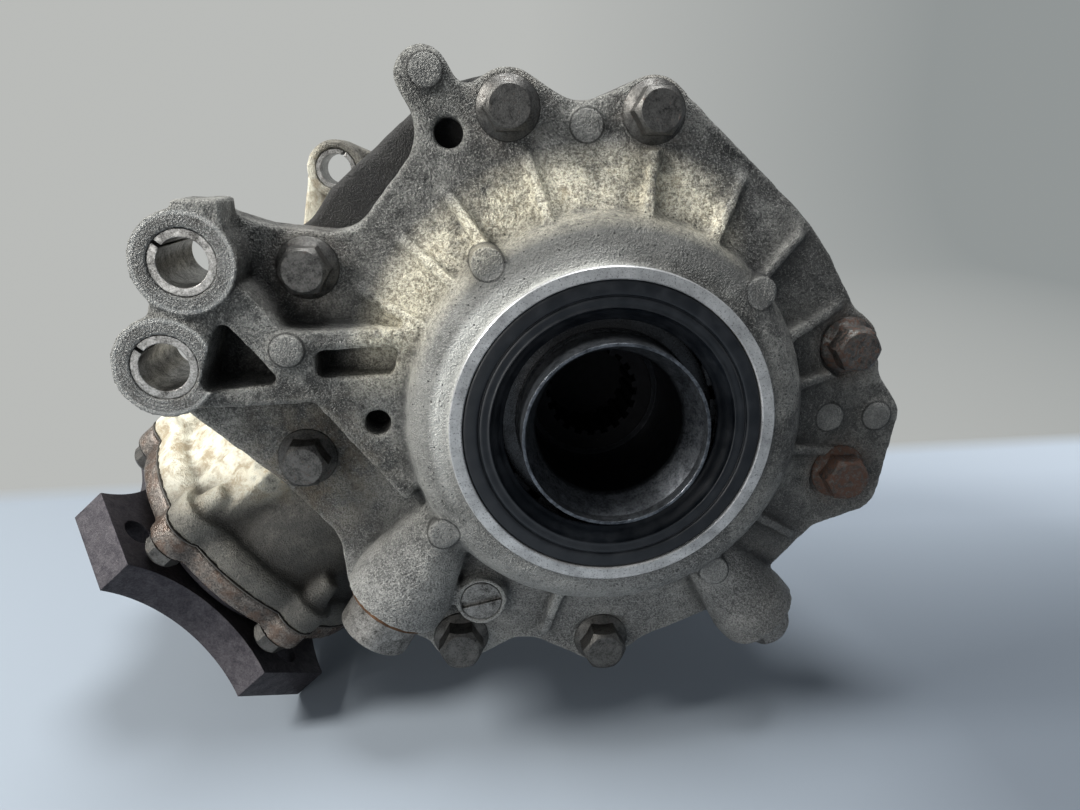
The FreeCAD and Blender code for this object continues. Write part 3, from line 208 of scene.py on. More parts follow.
class Tree:
    # short names for the shader nodes that every finish uses
    def __init__(self, material):
        self.nodes = material.node_tree.nodes
        self.links = material.node_tree.links
        self.place = None

    def add(self, kind, **values):
        node = self.nodes.new(kind)
        for name, value in values.items():
            setattr(node, name, value)
        return node

    def link(self, source, target):
        self.links.new(source, target)

    def feed(self, socket, value):
        if isinstance(value, (int, float)):
            socket.default_value = value
        elif isinstance(value, tuple):
            socket.default_value = value if len(value) == 4 or socket.type == "VECTOR" else value + (1.0,)
        else:
            self.link(value, socket)

    def object(self):
        if self.place is None:
            self.place = self.add("ShaderNodeTexCoord").outputs["Object"]
        return self.place

    def axes(self):
        split = self.add("ShaderNodeSeparateXYZ")
        self.link(self.object(), split.inputs[0])
        return split.outputs[0], split.outputs[1], split.outputs[2]

    def math(self, kind, a, b=0.0, c=0.0, clamp=False):
        node = self.add("ShaderNodeMath", operation=kind, use_clamp=clamp)
        for socket, value in zip(node.inputs, (a, b, c)):
            self.feed(socket, value)
        return node.outputs[0]

    def times(self, *values):
        # product of two or more values
        result = values[0]
        for value in values[1:]:
            result = self.math("MULTIPLY", result, value)
        return result

    def noise(self, scale, detail, rough, distortion=0.0):
        node = self.add("ShaderNodeTexNoise")
        self.link(self.object(), node.inputs["Vector"])
        node.inputs["Scale"].default_value = scale
        node.inputs["Detail"].default_value = detail
        node.inputs["Roughness"].default_value = rough
        node.inputs["Distortion"].default_value = distortion
        return node.outputs["Fac"]

    def cells(self, scale):
        # distance to the nearest point of a scatter
        node = self.add("ShaderNodeTexVoronoi", feature="F1")
        self.link(self.object(), node.inputs["Vector"])
        node.inputs["Scale"].default_value = scale
        return node.outputs["Distance"]

    def band(self, value, low, high, clampLow=0.0, clampHigh=1.0):
        # straight rise from clampLow at low to clampHigh at high
        node = self.add("ShaderNodeMapRange", clamp=True)
        self.feed(node.inputs["Value"], value)
        for socket, number in zip(list(node.inputs)[1:5], (low, high, clampLow, clampHigh)):
            socket.default_value = number
        return node.outputs[0]

    def mix(self, factor, a, b):
        node = self.add("ShaderNodeMix", data_type="RGBA", blend_type="MIX")
        self.feed(node.inputs[0], factor)
        self.feed(node.inputs[6], a)
        self.feed(node.inputs[7], b)
        return node.outputs[2]

    def mixNumber(self, factor, a, b):
        node = self.add("ShaderNodeMix", data_type="FLOAT")
        self.feed(node.inputs[0], factor)
        self.feed(node.inputs[2], a)
        self.feed(node.inputs[3], b)
        return node.outputs[0]

    def attribute(self, name):
        return self.add("ShaderNodeAttribute", attribute_name=name).outputs["Fac"]

    def radius(self, centreX=0.0, centreZ=0.0):
        # distance from a line along the axle's direction
        x, _, z = self.axes()
        u = self.math("SUBTRACT", x, centreX)
        v = self.math("SUBTRACT", z, centreZ)
        square = self.math("ADD", self.times(u, u), self.times(v, v))
        return self.math("SQRT", square)

    def ring(self, radius, inner, outer, soft):
        # 1 between two radii
        rise = self.band(radius, inner - soft, inner + soft)
        fall = self.band(radius, outer - soft, outer + soft, 1.0, 0.0)
        return self.times(rise, fall)

    def bump(self, height, strength, distance, normal=None):
        node = self.add("ShaderNodeBump")
        node.inputs["Strength"].default_value = strength
        node.inputs["Distance"].default_value = distance
        self.link(height, node.inputs["Height"])
        if normal is not None:
            self.link(normal, node.inputs["Normal"])
        return node.outputs[0]

    def softEdge(self, radius):
        node = self.add("ShaderNodeBevel", samples=4)
        node.inputs["Radius"].default_value = radius
        return node.outputs[0]


def newMaterial(name, metallic, roughness=0.5, specular=0.5):
    material = bpy.data.materials.new(name)
    material.use_nodes = True
    shader = material.node_tree.nodes["Principled BSDF"]
    shader.inputs["Metallic"].default_value = metallic
    shader.inputs["Roughness"].default_value = roughness
    shader.inputs["Specular IOR Level"].default_value = specular
    return material, shader, Tree(material)


makeCamera(cameraSettings)
makeStage(floorSettings)
makeLamps(lampSettings, worldSettings)
print("stage ready")


castSettings = {
    # colours from dark to light; grains in 1/m; shares of chalk, grime and light salt; depth of the bumps in m
    "coverAlloy": {
        "grime": (0.018, 0.018, 0.017), "grey": (0.125, 0.124, 0.115), "chalk": (0.38, 0.375, 0.342),
        "cream": (0.82, 0.775, 0.62), "grain": 1750.0, "chalkShare": 0.49, "grimeShare": 0.62, "salt": 0.62,
        "metallic": 0.30, "rough": (0.38, 0.66), "depth": 0.0010,
    },
    "casingAlloy": {
        "grime": (0.026, 0.023, 0.019), "grey": (0.120, 0.112, 0.096), "chalk": (0.27, 0.255, 0.215),
        "cream": (0.78, 0.75, 0.62), "grain": 1900.0, "chalkShare": 0.50, "grimeShare": 0.70, "salt": 0.45,
        "metallic": 0.28, "rough": (0.40, 0.68), "depth": 0.0006,
    },
    "carrierAlloy": {
        "grime": (0.018, 0.014, 0.012), "grey": (0.100, 0.085, 0.072), "chalk": (0.27, 0.24, 0.21),
        "grain": 1500.0, "chalkShare": 0.55, "grimeShare": 0.80, "salt": 0.30,
        "metallic": 0.35, "rough": (0.22, 0.55), "depth": 0.00030,
    },
}

castPattern = {
    # noises: scale in 1/m, detail, roughness, distortion; speck and crumbs take their scale from the grain
    "broad": (34.0, 4.0, 0.55, 0.5), "blot": (170.0, 7.0, 0.70, 0.3), "speck": (2.0, 0.6), "crumbs": (4.0, 0.72),
    "crumbSize": 0.45, "broadShare": 0.55, "blotShare": 0.45,
    # bands of those noises in which each tone comes up
    "greyBand": (0.34, 0.52), "bloomWidth": 0.16, "bloomShare": 0.75, "edgeBand": (0.40, 1.0, 0.0, 0.50),
    "darkSpeck": (0.38, 0.48, 0.60, 0.0), "saltSpeck": (0.54, 0.60), "saltCrumbs": (0.42, 0.52),
    "pitCrumbs": (0.38, 0.46, 1.0, 0.0), "pitPatch": (0.46, 0.66, 1.0, 0.0), "dirtBlot": (0.30, 0.55),
    "dirtShare": 0.85, "roughBand": (0.3, 0.9), "pitRough": 0.3, "speckHeight": 1.1, "bumpStrength": 0.85,
}


def castFinish(name, settings, pattern, extras):
    # weathered casting: grimy grey body, chalky bloom in patches, fine light grain, grime and painted shade in the
    # hollows
    material, shader, tree = newMaterial(name, settings["metallic"], 0.6, 0.4)
    x, y, z = tree.axes()
    grain = settings["grain"]
    broad = tree.noise(*pattern["broad"])
    blot = tree.noise(*pattern["blot"])
    speck = tree.noise(grain, *pattern["speck"])
    crumbs = tree.noise(grain * pattern["crumbSize"], *pattern["crumbs"])
    patch = tree.math("ADD", tree.times(broad, pattern["broadShare"]), tree.times(blot, pattern["blotShare"]))
    share = settings["chalkShare"]
    bloom = tree.band(patch, share, share + pattern["bloomWidth"])
    salt = tree.times(tree.band(speck, *pattern["saltSpeck"]), tree.band(crumbs, *pattern["saltCrumbs"]))
    pits = tree.times(tree.band(crumbs, *pattern["pitCrumbs"]), tree.band(patch, *pattern["pitPatch"]))
    colour = tree.mix(tree.band(patch, *pattern["greyBand"]), settings["grime"], settings["grey"])
    colour = tree.mix(tree.times(bloom, pattern["bloomShare"]), colour, settings["chalk"])
    colour = tree.mix(tree.band(tree.attribute("edge"), *pattern["edgeBand"]), colour, settings["chalk"])
    colour = tree.mix(tree.band(speck, *pattern["darkSpeck"]), colour, settings["grime"])
    colour = tree.mix(tree.times(salt, settings["salt"]), colour, settings["chalk"])
    colour = tree.mix(tree.times(pits, settings["grimeShare"]), colour, settings["grime"])
    # grime and painted shade in the hollows, in blots
    inHollows = tree.band(blot, *pattern["dirtBlot"])
    dirt = tree.math("MULTIPLY", tree.attribute("hollow"), inHollows, clamp=True)
    uneven = tree.math("ADD", speck, tree.times(pits, pattern["pitRough"]))
    parts = {
        "x": x, "y": y, "z": z, "chalk": patch, "blot": blot, "speck": speck, "crumbs": crumbs,
        "colour": colour, "dirt": dirt, "metal": settings["metallic"],
        "rough": tree.band(uneven, *pattern["roughBand"], *settings["rough"]),
        "height": tree.math("ADD", tree.times(speck, pattern["speckHeight"]), crumbs),
    }
    extras(tree, parts, settings)
    colour = tree.mix(tree.times(parts["dirt"], pattern["dirtShare"]), parts["colour"], settings["grime"])
    tree.link(colour, shader.inputs["Base Color"])
    tree.feed(shader.inputs["Roughness"], parts["rough"])
    tree.feed(shader.inputs["Metallic"], parts["metal"])
    relief = tree.bump(parts["height"], pattern["bumpStrength"], settings["depth"])
    tree.link(relief, shader.inputs["Normal"])
    return material


def zoneMask(tree, parts, zone):
    # product of the zone's masks: a ring or a spot round a line along the axle, and bands of fields
    masks = []
    if "ring" in zone:
        masks.append(tree.ring(tree.radius(), *zone["ring"]))
    if "spot" in zone:
        masks.append(tree.band(tree.radius(*zone["spot"]), *zone["spotEdge"], 1.0, 0.0))
    for field in ("x", "y", "z", "chalk", "blot", "speck"):
        if field in zone:
            masks.append(tree.band(parts[field], *zone[field]))
    return tree.times(*masks)


def layCoat(tree, parts, mask, share, colour):
    # lays a colour over the finish, at its share where the mask is 1
    parts["colour"] = tree.mix(tree.times(mask, share), parts["colour"], colour)


def clearGrimeShade(tree, parts, mask, share=1.0):
    # takes the grime and painted shade off where the mask is 1
    parts["dirt"] = tree.times(parts["dirt"], tree.math("SUBTRACT", 1.0, tree.times(mask, share)))


boltPlaces = {
    # cover bolts by letter: x, z in metres and how rusty each is
    "a": (-0.0307, 0.0965, 0.06), "b": (0.0148, 0.0955, 0.06), "c": (0.0860, 0.0200, 0.42),
    "d": (0.0875, -0.0267, 0.60), "e": (-0.0994, -0.0145, 0.16), "f": (-0.0944, 0.0488, 0.08),
}

padPlaces = [
    # x, z of the round ejector marks
    (-0.0387, 0.0518), (0.0460, 0.0419), (-0.0544, -0.0360), (0.0383, -0.0556), (-0.0998, 0.0258),
    (-0.0064, 0.0915), (0.0806, -0.0050), (0.0993, -0.0059), (-0.0554, 0.1070),
]

earSeats = [
    # x, z, radius, level of the machined face of each ear
    (-0.1266, 0.0528, 0.0150, 0.0080), (-0.1356, 0.0218, 0.0150, 0.0080),
]

coverZones = {
    # where each coat lies, in metres and in bands of the pattern's fields, its share and its colour
    # painted light: the left of the dome lighter
    "litDomeLeft": {
        "ring": (0.0515, 0.0665, 0.0015), "x": (-0.050, 0.030, 1.0, 0.0), "chalk": (0.30, 0.50),
        "share": 0.55, "colour": (0.30, 0.30, 0.28),
    },
    # painted highlight on the upper left of the dome's foot, beside the nose ring
    "highlitDomeFoot": {
        "ring": (0.0505, 0.0570, 0.0012), "x": (-0.010, 0.012, 1.0, 0.0), "z": (-0.030, 0.005),
        "share": 0.75, "colour": (0.62, 0.62, 0.58),
    },
    # painted shade: the top of the dome darker
    "shadedCrown": {
        "ring": (0.0535, 0.0675, 0.0015), "z": (0.034, 0.050), "share": 0.70, "colour": (0.085, 0.085, 0.080),
    },
    "creamPockets": {
        "ring": (0.066, 0.083, 0.0045), "z": (0.008, 0.028), "x": (0.034, 0.046, 1.0, 0.0),
        "chalk": (0.36, 0.50), "share": 0.95,
    },
    # lighter specks towards the bottom
    "paleLowerHalf": {
        "z": (-0.055, -0.025, 1.0, 0.0), "speck": (0.40, 0.56, 0.25, 1.0),
        "share": 0.42, "colour": (0.40, 0.40, 0.385),
    },
    "oilyArm": {"x": (-0.092, -0.070, 1.0, 0.0), "chalk": (0.42, 0.62, 1.0, 0.0), "strength": 0.7},
    # painted shade with oil on the right side; its share and colour also lay the oil on the arm
    "shadeAndOilSide": {"x": (0.038, 0.060), "chalk": (0.50, 0.74, 1.0, 0.35), "share": 0.45,
                 "colour": (0.030, 0.029, 0.027)},
    "turnedFace": {"ring": (0.0440, 0.0520, 0.0003), "y": (0.0016, 0.0006)},
    "stainedPlate": {
        "spot": (-0.0960, -0.0180), "spotEdge": (0.012, 0.034), "blot": (0.38, 0.62),
        "share": 0.65, "colour": (0.105, 0.080, 0.048),
    },
}


def coverExtras(tree, parts, settings):
    zones = coverZones
    for name in ("litDomeLeft", "highlitDomeFoot", "shadedCrown"):
        coverCoat(tree, parts, zones[name])
    cream = creamPockets(tree, parts, settings, zones["creamPockets"])
    coverCoat(tree, parts, zones["paleLowerHalf"])
    arm = tree.times(zoneMask(tree, parts, zones["oilyArm"]), zones["oilyArm"]["strength"])
    # oil on the arm, and painted shade with oil on the right side
    oilAndShade = tree.math("MAXIMUM", arm, zoneMask(tree, parts, zones["shadeAndOilSide"]))
    layCoat(tree, parts, oilAndShade, zones["shadeAndOilSide"]["share"], zones["shadeAndOilSide"]["colour"])
    boltStains(tree, parts, stainSettings)
    castPores(tree, parts, poreSettings)
    padOutlines(tree, parts, settings, padSettings)
    clearGrimeShade(tree, parts, cream)
    turnedFace(tree, parts, settings, faceSettings, zoneMask(tree, parts, zones["turnedFace"]))
    for seat in earSeats:
        earFace(tree, parts, earSettings, *seat)
    coverCoat(tree, parts, zones["stainedPlate"])


def coverCoat(tree, parts, zone):
    layCoat(tree, parts, zoneMask(tree, parts, zone), zone["share"], zone["colour"])


pocketSettings = {
    # brown between the crumbs, dark specks, and stains over the cream
    "brown": (0.36, 0.325, 0.245), "brownCrumbs": (0.40, 0.56),
    "dark": (0.12, 0.105, 0.078), "darkSpeck": (0.36, 0.50, 0.6, 0.0),
    "stain": (0.30, 0.235, 0.13), "stainBlot": (0.58, 0.70), "stainShare": 0.5,
}


def creamPockets(tree, parts, settings, zone):
    # gritty cream bloom in the upper left pockets between the ribs; gives its mask
    look = pocketSettings
    cream = zoneMask(tree, parts, zone)
    grit = tree.mix(tree.band(parts["crumbs"], *look["brownCrumbs"]), look["brown"], settings["cream"])
    grit = tree.mix(tree.band(parts["speck"], *look["darkSpeck"]), grit, look["dark"])
    stains = tree.times(tree.band(parts["blot"], *look["stainBlot"]), look["stainShare"])
    layCoat(tree, parts, cream, zone["share"], tree.mix(stains, grit, look["stain"]))
    return cream


stainSettings = {"from": 0.0105, "to": 0.0165, "blot": (0.40, 0.60), "least": 0.25, "perRust": 0.5,
                 "colour": (0.060, 0.036, 0.022)}


def boltStains(tree, parts, look):
    # rust run-off round the bolt seats, more of it where the bolt is rustier
    for centreX, centreZ, rusty in boltPlaces.values():
        zone = {"spot": (centreX, centreZ), "spotEdge": (look["from"], look["to"]), "blot": look["blot"]}
        share = look["least"] + look["perRust"] * rusty
        layCoat(tree, parts, zoneMask(tree, parts, zone), share, look["colour"])


poreSettings = {"scale": 430.0, "size": (0.10, 0.16), "ring": (0.0535, 0.0700, 0.0015), "share": 0.85,
                "colour": (0.020, 0.020, 0.019), "depth": 0.5}


def castPores(tree, parts, look):
    # dark dots on the dome
    dots = tree.band(tree.cells(look["scale"]), *look["size"], 1.0, 0.0)
    pores = tree.times(zoneMask(tree, parts, {"ring": look["ring"]}), dots)
    layCoat(tree, parts, pores, look["share"], look["colour"])
    parts["height"] = tree.math("SUBTRACT", parts["height"], tree.times(pores, look["depth"]))


padSettings = {"line": (0.0050, 0.0056, 0.0002), "lineShare": 0.8, "disc": (0.0048, 0.0050), "discShare": 0.35,
               "discColour": (0.20, 0.20, 0.19)}


def padOutlines(tree, parts, settings, look):
    # thin dark outlines of the round ejector marks, and their paler discs
    for place in padPlaces:
        far = tree.radius(*place)
        layCoat(tree, parts, tree.ring(far, *look["line"]), look["lineShare"], settings["grime"])
        layCoat(tree, parts, tree.band(far, *look["disc"], 1.0, 0.0), look["discShare"], look["discColour"])


faceSettings = {
    "light": (0.62, 0.63, 0.64), "dull": (0.40, 0.41, 0.42), "dullBlot": (0.40, 0.75),
    "nicks": (0.10, 0.10, 0.10), "nickSpeck": (0.60, 0.72), "nickShare": 0.6, "metal": 0.62,
    "lines": 21000.0, "lineHeight": 0.03, "level": 0.5, "rough": (0.3, 0.8, 0.24, 0.40),
}


def turnedFace(tree, parts, settings, look, face):
    # bright turned face of the nose, with fine rings: sine waves of the radius
    bright = tree.mix(tree.band(parts["blot"], *look["dullBlot"]), look["light"], look["dull"])
    nicks = tree.times(tree.band(parts["speck"], *look["nickSpeck"]), look["nickShare"])
    parts["colour"] = tree.mix(face, parts["colour"], tree.mix(nicks, bright, look["nicks"]))
    clearGrimeShade(tree, parts, face)
    parts["metal"] = tree.math("ADD", tree.times(face, look["metal"]), settings["metallic"])
    lines = tree.math("SINE", tree.times(tree.radius(), look["lines"]))
    turned = tree.math("ADD", tree.times(lines, look["lineHeight"]), look["level"])
    parts["height"] = tree.mixNumber(face, parts["height"], turned)
    parts["rough"] = tree.mixNumber(face, parts["rough"], tree.band(parts["blot"], *look["rough"]))


earSettings = {
    "soft": 0.0003, "depth": (0.0008, 0.0003), "share": 0.88, "lines": 5200.0,
    "light": (0.20, 0.20, 0.19), "dark": (0.060, 0.057, 0.052), "darkBlot": (0.40, 0.62),
    "groove": (0.035, 0.033, 0.030), "grooveLines": (0.1, 1.0, 0.0, 0.45),
    "salt": (0.42, 0.42, 0.40), "saltSpeck": (0.54, 0.62), "saltShare": 0.7,
    "rim": (-0.0012, 0.0004), "rimColour": (0.40, 0.40, 0.38), "rimShare": 0.7,
}


def earFace(tree, parts, look, centreX, centreZ, radius, level):
    # machined face of an ear: turned rings, salt, and a light rim
    spread = tree.radius(centreX, centreZ)
    soft = look["soft"]
    seat = tree.times(tree.band(spread, radius - soft, radius + soft, 1.0, 0.0),
                      tree.band(parts["y"], *(level + step for step in look["depth"])))
    lines = tree.math("SINE", tree.times(spread, look["lines"]))
    worn = tree.mix(tree.band(parts["blot"], *look["darkBlot"]), look["light"], look["dark"])
    worn = tree.mix(tree.band(lines, *look["grooveLines"]), worn, look["groove"])
    salty = tree.times(tree.band(parts["speck"], *look["saltSpeck"]), look["saltShare"])
    worn = tree.mix(salty, worn, look["salt"])
    rim = tree.ring(spread, *(radius + step for step in look["rim"]), soft)
    worn = tree.mix(tree.times(rim, look["rimShare"]), worn, look["rimColour"])
    layCoat(tree, parts, seat, look["share"], worn)


casingZones = {
    # painted shade on the low side of the casing
    "shadedLowPlane": {"z": (-0.044, -0.028, 1.0, 0.0), "chalk": (0.40, 0.62, 0.85, 0.45), "share": 1.0,
                 "colour": (0.055, 0.054, 0.050)},
    "creamTube": {"z": (-0.036, -0.024), "x": (-0.112, -0.100, 1.0, 0.0), "chalk": (0.34, 0.46), "share": 0.9},
    # near-black wall over the arm
    "darkWall": {"z": (0.030, 0.050), "y": (0.125, 0.140, 1.0, 0.0), "share": 0.93,
                 "colour": (0.016, 0.016, 0.016)},
    "stain": (0.40, 0.33, 0.22),
    "stainBlot": (0.44, 0.62),
    "clearedGrimeShade": 0.7,
}


def casingExtras(tree, parts, settings):
    # painted shade on the under side, pale bloom with brown run marks on the upper left of the pinion tube,
    # near-black wall over the arm
    zones = casingZones
    coverCoat(tree, parts, zones["shadedLowPlane"])
    cream = zoneMask(tree, parts, zones["creamTube"])
    stained = tree.mix(tree.band(parts["blot"], *zones["stainBlot"]), settings["cream"], zones["stain"])
    layCoat(tree, parts, cream, zones["creamTube"]["share"], stained)
    clearGrimeShade(tree, parts, cream, zones["clearedGrimeShade"])
    coverCoat(tree, parts, zones["darkWall"])


wetSettings = {"blot": (0.46, 0.60), "share": 0.7, "colour": (0.085, 0.045, 0.026), "rough": 0.20}


def carrierExtras(tree, parts, settings):
    # wet brown film
    wet = zoneMask(tree, parts, {"blot": wetSettings["blot"]})
    layCoat(tree, parts, wet, wetSettings["share"], wetSettings["colour"])
    parts["rough"] = tree.mixNumber(wet, parts["rough"], wetSettings["rough"])


steelSettings = {
    # finish: metal, dark stain, stain share, rust share, rough range, grain size in 1/m, depth of the grain in m
    "boltSteel": ((0.120, 0.116, 0.108), (0.018, 0.0175, 0.017), 0.56, 0.10, (0.34, 0.60), 1900.0, 0.00022),
    "innerFastenerSteel": ((0.30, 0.30, 0.30), (0.040, 0.040, 0.042), 0.45, 0.02, (0.30, 0.48), 2200.0, 0.00004),
    "plugSteel": ((0.30, 0.29, 0.27), (0.035, 0.033, 0.030), 0.52, 0.06, (0.34, 0.58), 1700.0, 0.00010),
    "breatherSteel": ((0.34, 0.33, 0.31), (0.050, 0.046, 0.042), 0.45, 0.08, (0.32, 0.55), 1700.0, 0.00006),
    "sleeveSteel": ((0.40, 0.39, 0.37), (0.045, 0.042, 0.038), 0.52, 0.06, (0.26, 0.48), 1900.0, 0.00010),
    "flangeSteel": ((0.082, 0.076, 0.082), (0.040, 0.037, 0.043), 0.50, 0.00, (0.50, 0.70), 1300.0, 0.00030),
    "caseIron": ((0.21, 0.225, 0.245), (0.036, 0.040, 0.046), 0.50, 0.00, (0.26, 0.40), 1300.0, 0.00016),
    "shimSteel": ((0.50, 0.50, 0.50), (0.20, 0.20, 0.20), 0.30, 0.00, (0.24, 0.36), 2600.0, 0.00002),
    "bearingSteel": ((0.055, 0.055, 0.056), (0.010, 0.0095, 0.009), 0.60, 0.00, (0.20, 0.34), 2600.0, 0.00001),
    "gearSteel": ((0.20, 0.20, 0.20), (0.040, 0.036, 0.030), 0.55, 0.00, (0.24, 0.42), 2200.0, 0.00002),
    # near black: painted shade on the oily gears deep in the case
    "shadedOilyGear": ((0.008, 0.008, 0.009), (0.002, 0.002, 0.0025), 0.60, 0.00, (0.50, 0.62), 2200.0, 0.00002),
    "bronzeWasher": ((0.55, 0.41, 0.21), (0.20, 0.12, 0.05), 0.40, 0.00, (0.28, 0.44), 2200.0, 0.00002),
    "washerBrown": ((0.16, 0.085, 0.045), (0.050, 0.028, 0.016), 0.50, 0.00, (0.45, 0.70), 1900.0, 0.00005),
}

steelPattern = {
    "metallic": 0.85, "blot": (260.0, 6.0, 0.66, 0.5), "speck": (3.0, 0.72), "crumbs": (620.0, 5.0, 0.7, 0.3),
    "blotShare": 0.55, "speckShare": 0.45, "stainBand": (-0.10, 0.12), "roughBand": (0.3, 0.7),
    "rustDark": (0.022, 0.013, 0.010), "rustLight": (0.105, 0.046, 0.024), "rustRough": 0.85,
    "rustLevel": 0.78, "rustReach": 0.45, "rustBlot": 0.25, "rustSharpness": 7.0, "rustHeight": 0.5,
    "spotEdge": (0.012, 0.014), "bumpStrength": 0.6, "softEdge": 0.0005,
}

# painted shade: near black inside the bore, behind its mouth
boreShadeSettings = {"radius": 0.0244, "soft": 0.0005, "depth": (0.002, 0.010), "share": 0.93,
                "colour": (0.0025, 0.0028, 0.0035)}


def rustMask(tree, pattern, crumbs, blot, rustShare, spots):
    # crumbs of rust where a noise passes a level, which is lower round the named spots
    level = pattern["rustLevel"] - pattern["rustReach"] * rustShare
    if spots:
        amount = rustShare
        for centreX, centreZ, strength in spots:
            near = tree.band(tree.radius(centreX, centreZ), *pattern["spotEdge"], strength, 0.0)
            amount = tree.math("MAXIMUM", amount, near)
        level = tree.math("SUBTRACT", pattern["rustLevel"], tree.times(amount, pattern["rustReach"]))
    field = tree.math("ADD", crumbs, tree.times(blot, pattern["rustBlot"]))
    return tree.math("MULTIPLY", tree.math("SUBTRACT", field, level), pattern["rustSharpness"], clamp=True)


def steelFinish(name, pattern, spots=(), bore=None):
    # bare or dulled steel: stains in blots and rust in crumbs; a bore gets painted shade, near black, behind its
    # mouth
    metal, stain, stainShare, rustShare, roughRange, grain, depth = steelSettings[name]
    material, shader, tree = newMaterial(name, pattern["metallic"], 0.4)
    blot = tree.noise(*pattern["blot"])
    speck = tree.noise(grain, *pattern["speck"])
    crumbs = tree.noise(*pattern["crumbs"])
    field = tree.math("ADD", tree.times(blot, pattern["blotShare"]), tree.times(speck, pattern["speckShare"]))
    clear = 1.0 - stainShare
    colour = tree.mix(tree.band(field, *(clear + step for step in pattern["stainBand"])), stain, metal)
    rust = rustMask(tree, pattern, crumbs, blot, rustShare, spots)
    colour = tree.mix(rust, colour, tree.mix(speck, pattern["rustDark"], pattern["rustLight"]))
    if bore:
        within = tree.band(tree.radius(), bore["radius"], bore["radius"] + bore["soft"], 1.0, 0.0)
        deep = tree.times(within, tree.band(tree.axes()[1], *bore["depth"]))
        colour = tree.mix(tree.times(deep, bore["share"]), colour, bore["colour"])
    tree.link(colour, shader.inputs["Base Color"])
    rough = tree.band(field, *pattern["roughBand"], *reversed(roughRange))
    tree.link(tree.mixNumber(rust, rough, pattern["rustRough"]), shader.inputs["Roughness"])
    bare = tree.times(tree.math("SUBTRACT", 1.0, rust), pattern["metallic"])
    tree.link(bare, shader.inputs["Metallic"])
    height = tree.math("ADD", speck, tree.times(rust, pattern["rustHeight"]))
    relief = tree.bump(height, pattern["bumpStrength"], depth, tree.softEdge(pattern["softEdge"]))
    tree.link(relief, shader.inputs["Normal"])
    return material


plainSettings = {
    # blot and fine noise, two tones with their band, a light dust, range of roughness, bump
    "sealRubber": {
        "blot": (160.0, 5.0, 0.6), "toneBand": (0.45, 0.75),
        "tones": ((0.0030, 0.0042, 0.0062), (0.0085, 0.0105, 0.0135)), "fine": (2400.0, 3.0, 0.6),
        "dustBand": (0.64, 0.74, 0.0, 0.35), "dust": (0.030, 0.032, 0.033),
        "rough": (0.35, 0.7, 0.30, 0.52), "bump": (0.3, 0.00006), "specular": 0.5,
    },
    "sealant": {
        "blot": (300.0, 5.0, 0.65), "toneBand": (0.4, 0.65), "tones": ((0.030, 0.028, 0.026), (0.11, 0.10, 0.085)),
        "rough": (0.3, 0.7, 0.45, 0.75), "bump": (0.5, 0.0002), "specular": 0.4,
    },
}


def plainFinish(name, look):
    # blue-black rubber, dusty on the rim, or dull sealant: two tones in blots
    material, shader, tree = newMaterial(name, 0.0, 0.4, look["specular"])
    blot = tree.noise(*look["blot"])
    grain = blot
    colour = tree.mix(tree.band(blot, *look["toneBand"]), *look["tones"])
    if "fine" in look:
        grain = tree.noise(*look["fine"])
        colour = tree.mix(tree.band(grain, *look["dustBand"]), colour, look["dust"])
    tree.link(colour, shader.inputs["Base Color"])
    tree.link(tree.band(blot, *look["rough"]), shader.inputs["Roughness"])
    tree.link(tree.bump(grain, *look["bump"]), shader.inputs["Normal"])
    return material


skinSettings = {
    # node: new piece, its slot, size of the grid in m, rounds of easing, depth of the unevenness in m,
    # triangles kept
    "cover_casting": {"piece": "coverSkin", "slot": "cover_alloy", "grid": 0.0008, "rounds": 5, "wobble": 0.0006,
                      "most": 195000},
    "main_casing": {"piece": "casingSkin", "slot": "casing_alloy", "grid": 0.0012, "rounds": 4, "wobble": 0.0006,
                    "most": 160000},
    "pinion_carrier": {"piece": "carrierSkin", "slot": "carrier_alloy", "grid": 0.0010, "rounds": 4,
                       "wobble": 0.0006, "most": 70000},
}

weldDistance = 2e-6  # metres within which the loose corners of a node's triangles are one


def neighbourMean(points, edges, count):
    # mean of the points that an edge joins to each point
    total = np.empty_like(points)
    for axis in range(3):
        column = points[:, axis]
        total[:, axis] = (np.bincount(edges[:, 0], column[edges[:, 1]], len(points))
                          + np.bincount(edges[:, 1], column[edges[:, 0]], len(points)))
    return total / np.maximum(count, 1)[:, None]


easeSettings = {
    # share of the way to its neighbours' mean that a point moves in each round, by place
    "cast": 0.55, "machined": 0.10, "pad": 0.16, "ear": 0.12, "boltFace": 0.15, "tube": 0.14,
    # radii and depths in metres that bound those places
    "noseRadius": 0.0530, "noseDepth": 0.0032, "boreRadius": 0.0480, "jointDepth": 0.0370, "padRadius": 0.0062,
    "earMargin": 0.001, "earDepth": 0.0012, "boltRadius": 0.0118, "boltDepth": 0.018, "tubeX": -0.078,
}


def easeAmount(node, points, settings):
    # little on machined faces, more on cast ones
    x, y, z = points.T
    amount = np.full(len(points), settings["cast"])
    if node == "cover_casting":
        around = np.hypot(x, z)
        amount[(around < settings["noseRadius"]) & (y < settings["noseDepth"])] = settings["machined"]
        amount[(y > settings["jointDepth"]) | (around < settings["boreRadius"])] = settings["machined"]
        for centreX, centreZ in padPlaces:
            amount[np.hypot(x - centreX, z - centreZ) < settings["padRadius"]] = settings["pad"]
        for centreX, centreZ, radius, level in earSeats:
            near = np.hypot(x - centreX, z - centreZ) < radius + settings["earMargin"]
            amount[near & (y < level + settings["earDepth"])] = settings["ear"]
        for centreX, centreZ, _ in boltPlaces.values():
            near = np.hypot(x - centreX, z - centreZ) < settings["boltRadius"]
            amount[near & (y > settings["boltDepth"])] = settings["boltFace"]
    if node == "main_casing":
        amount[x < settings["tubeX"]] = settings["tube"]
    return amount


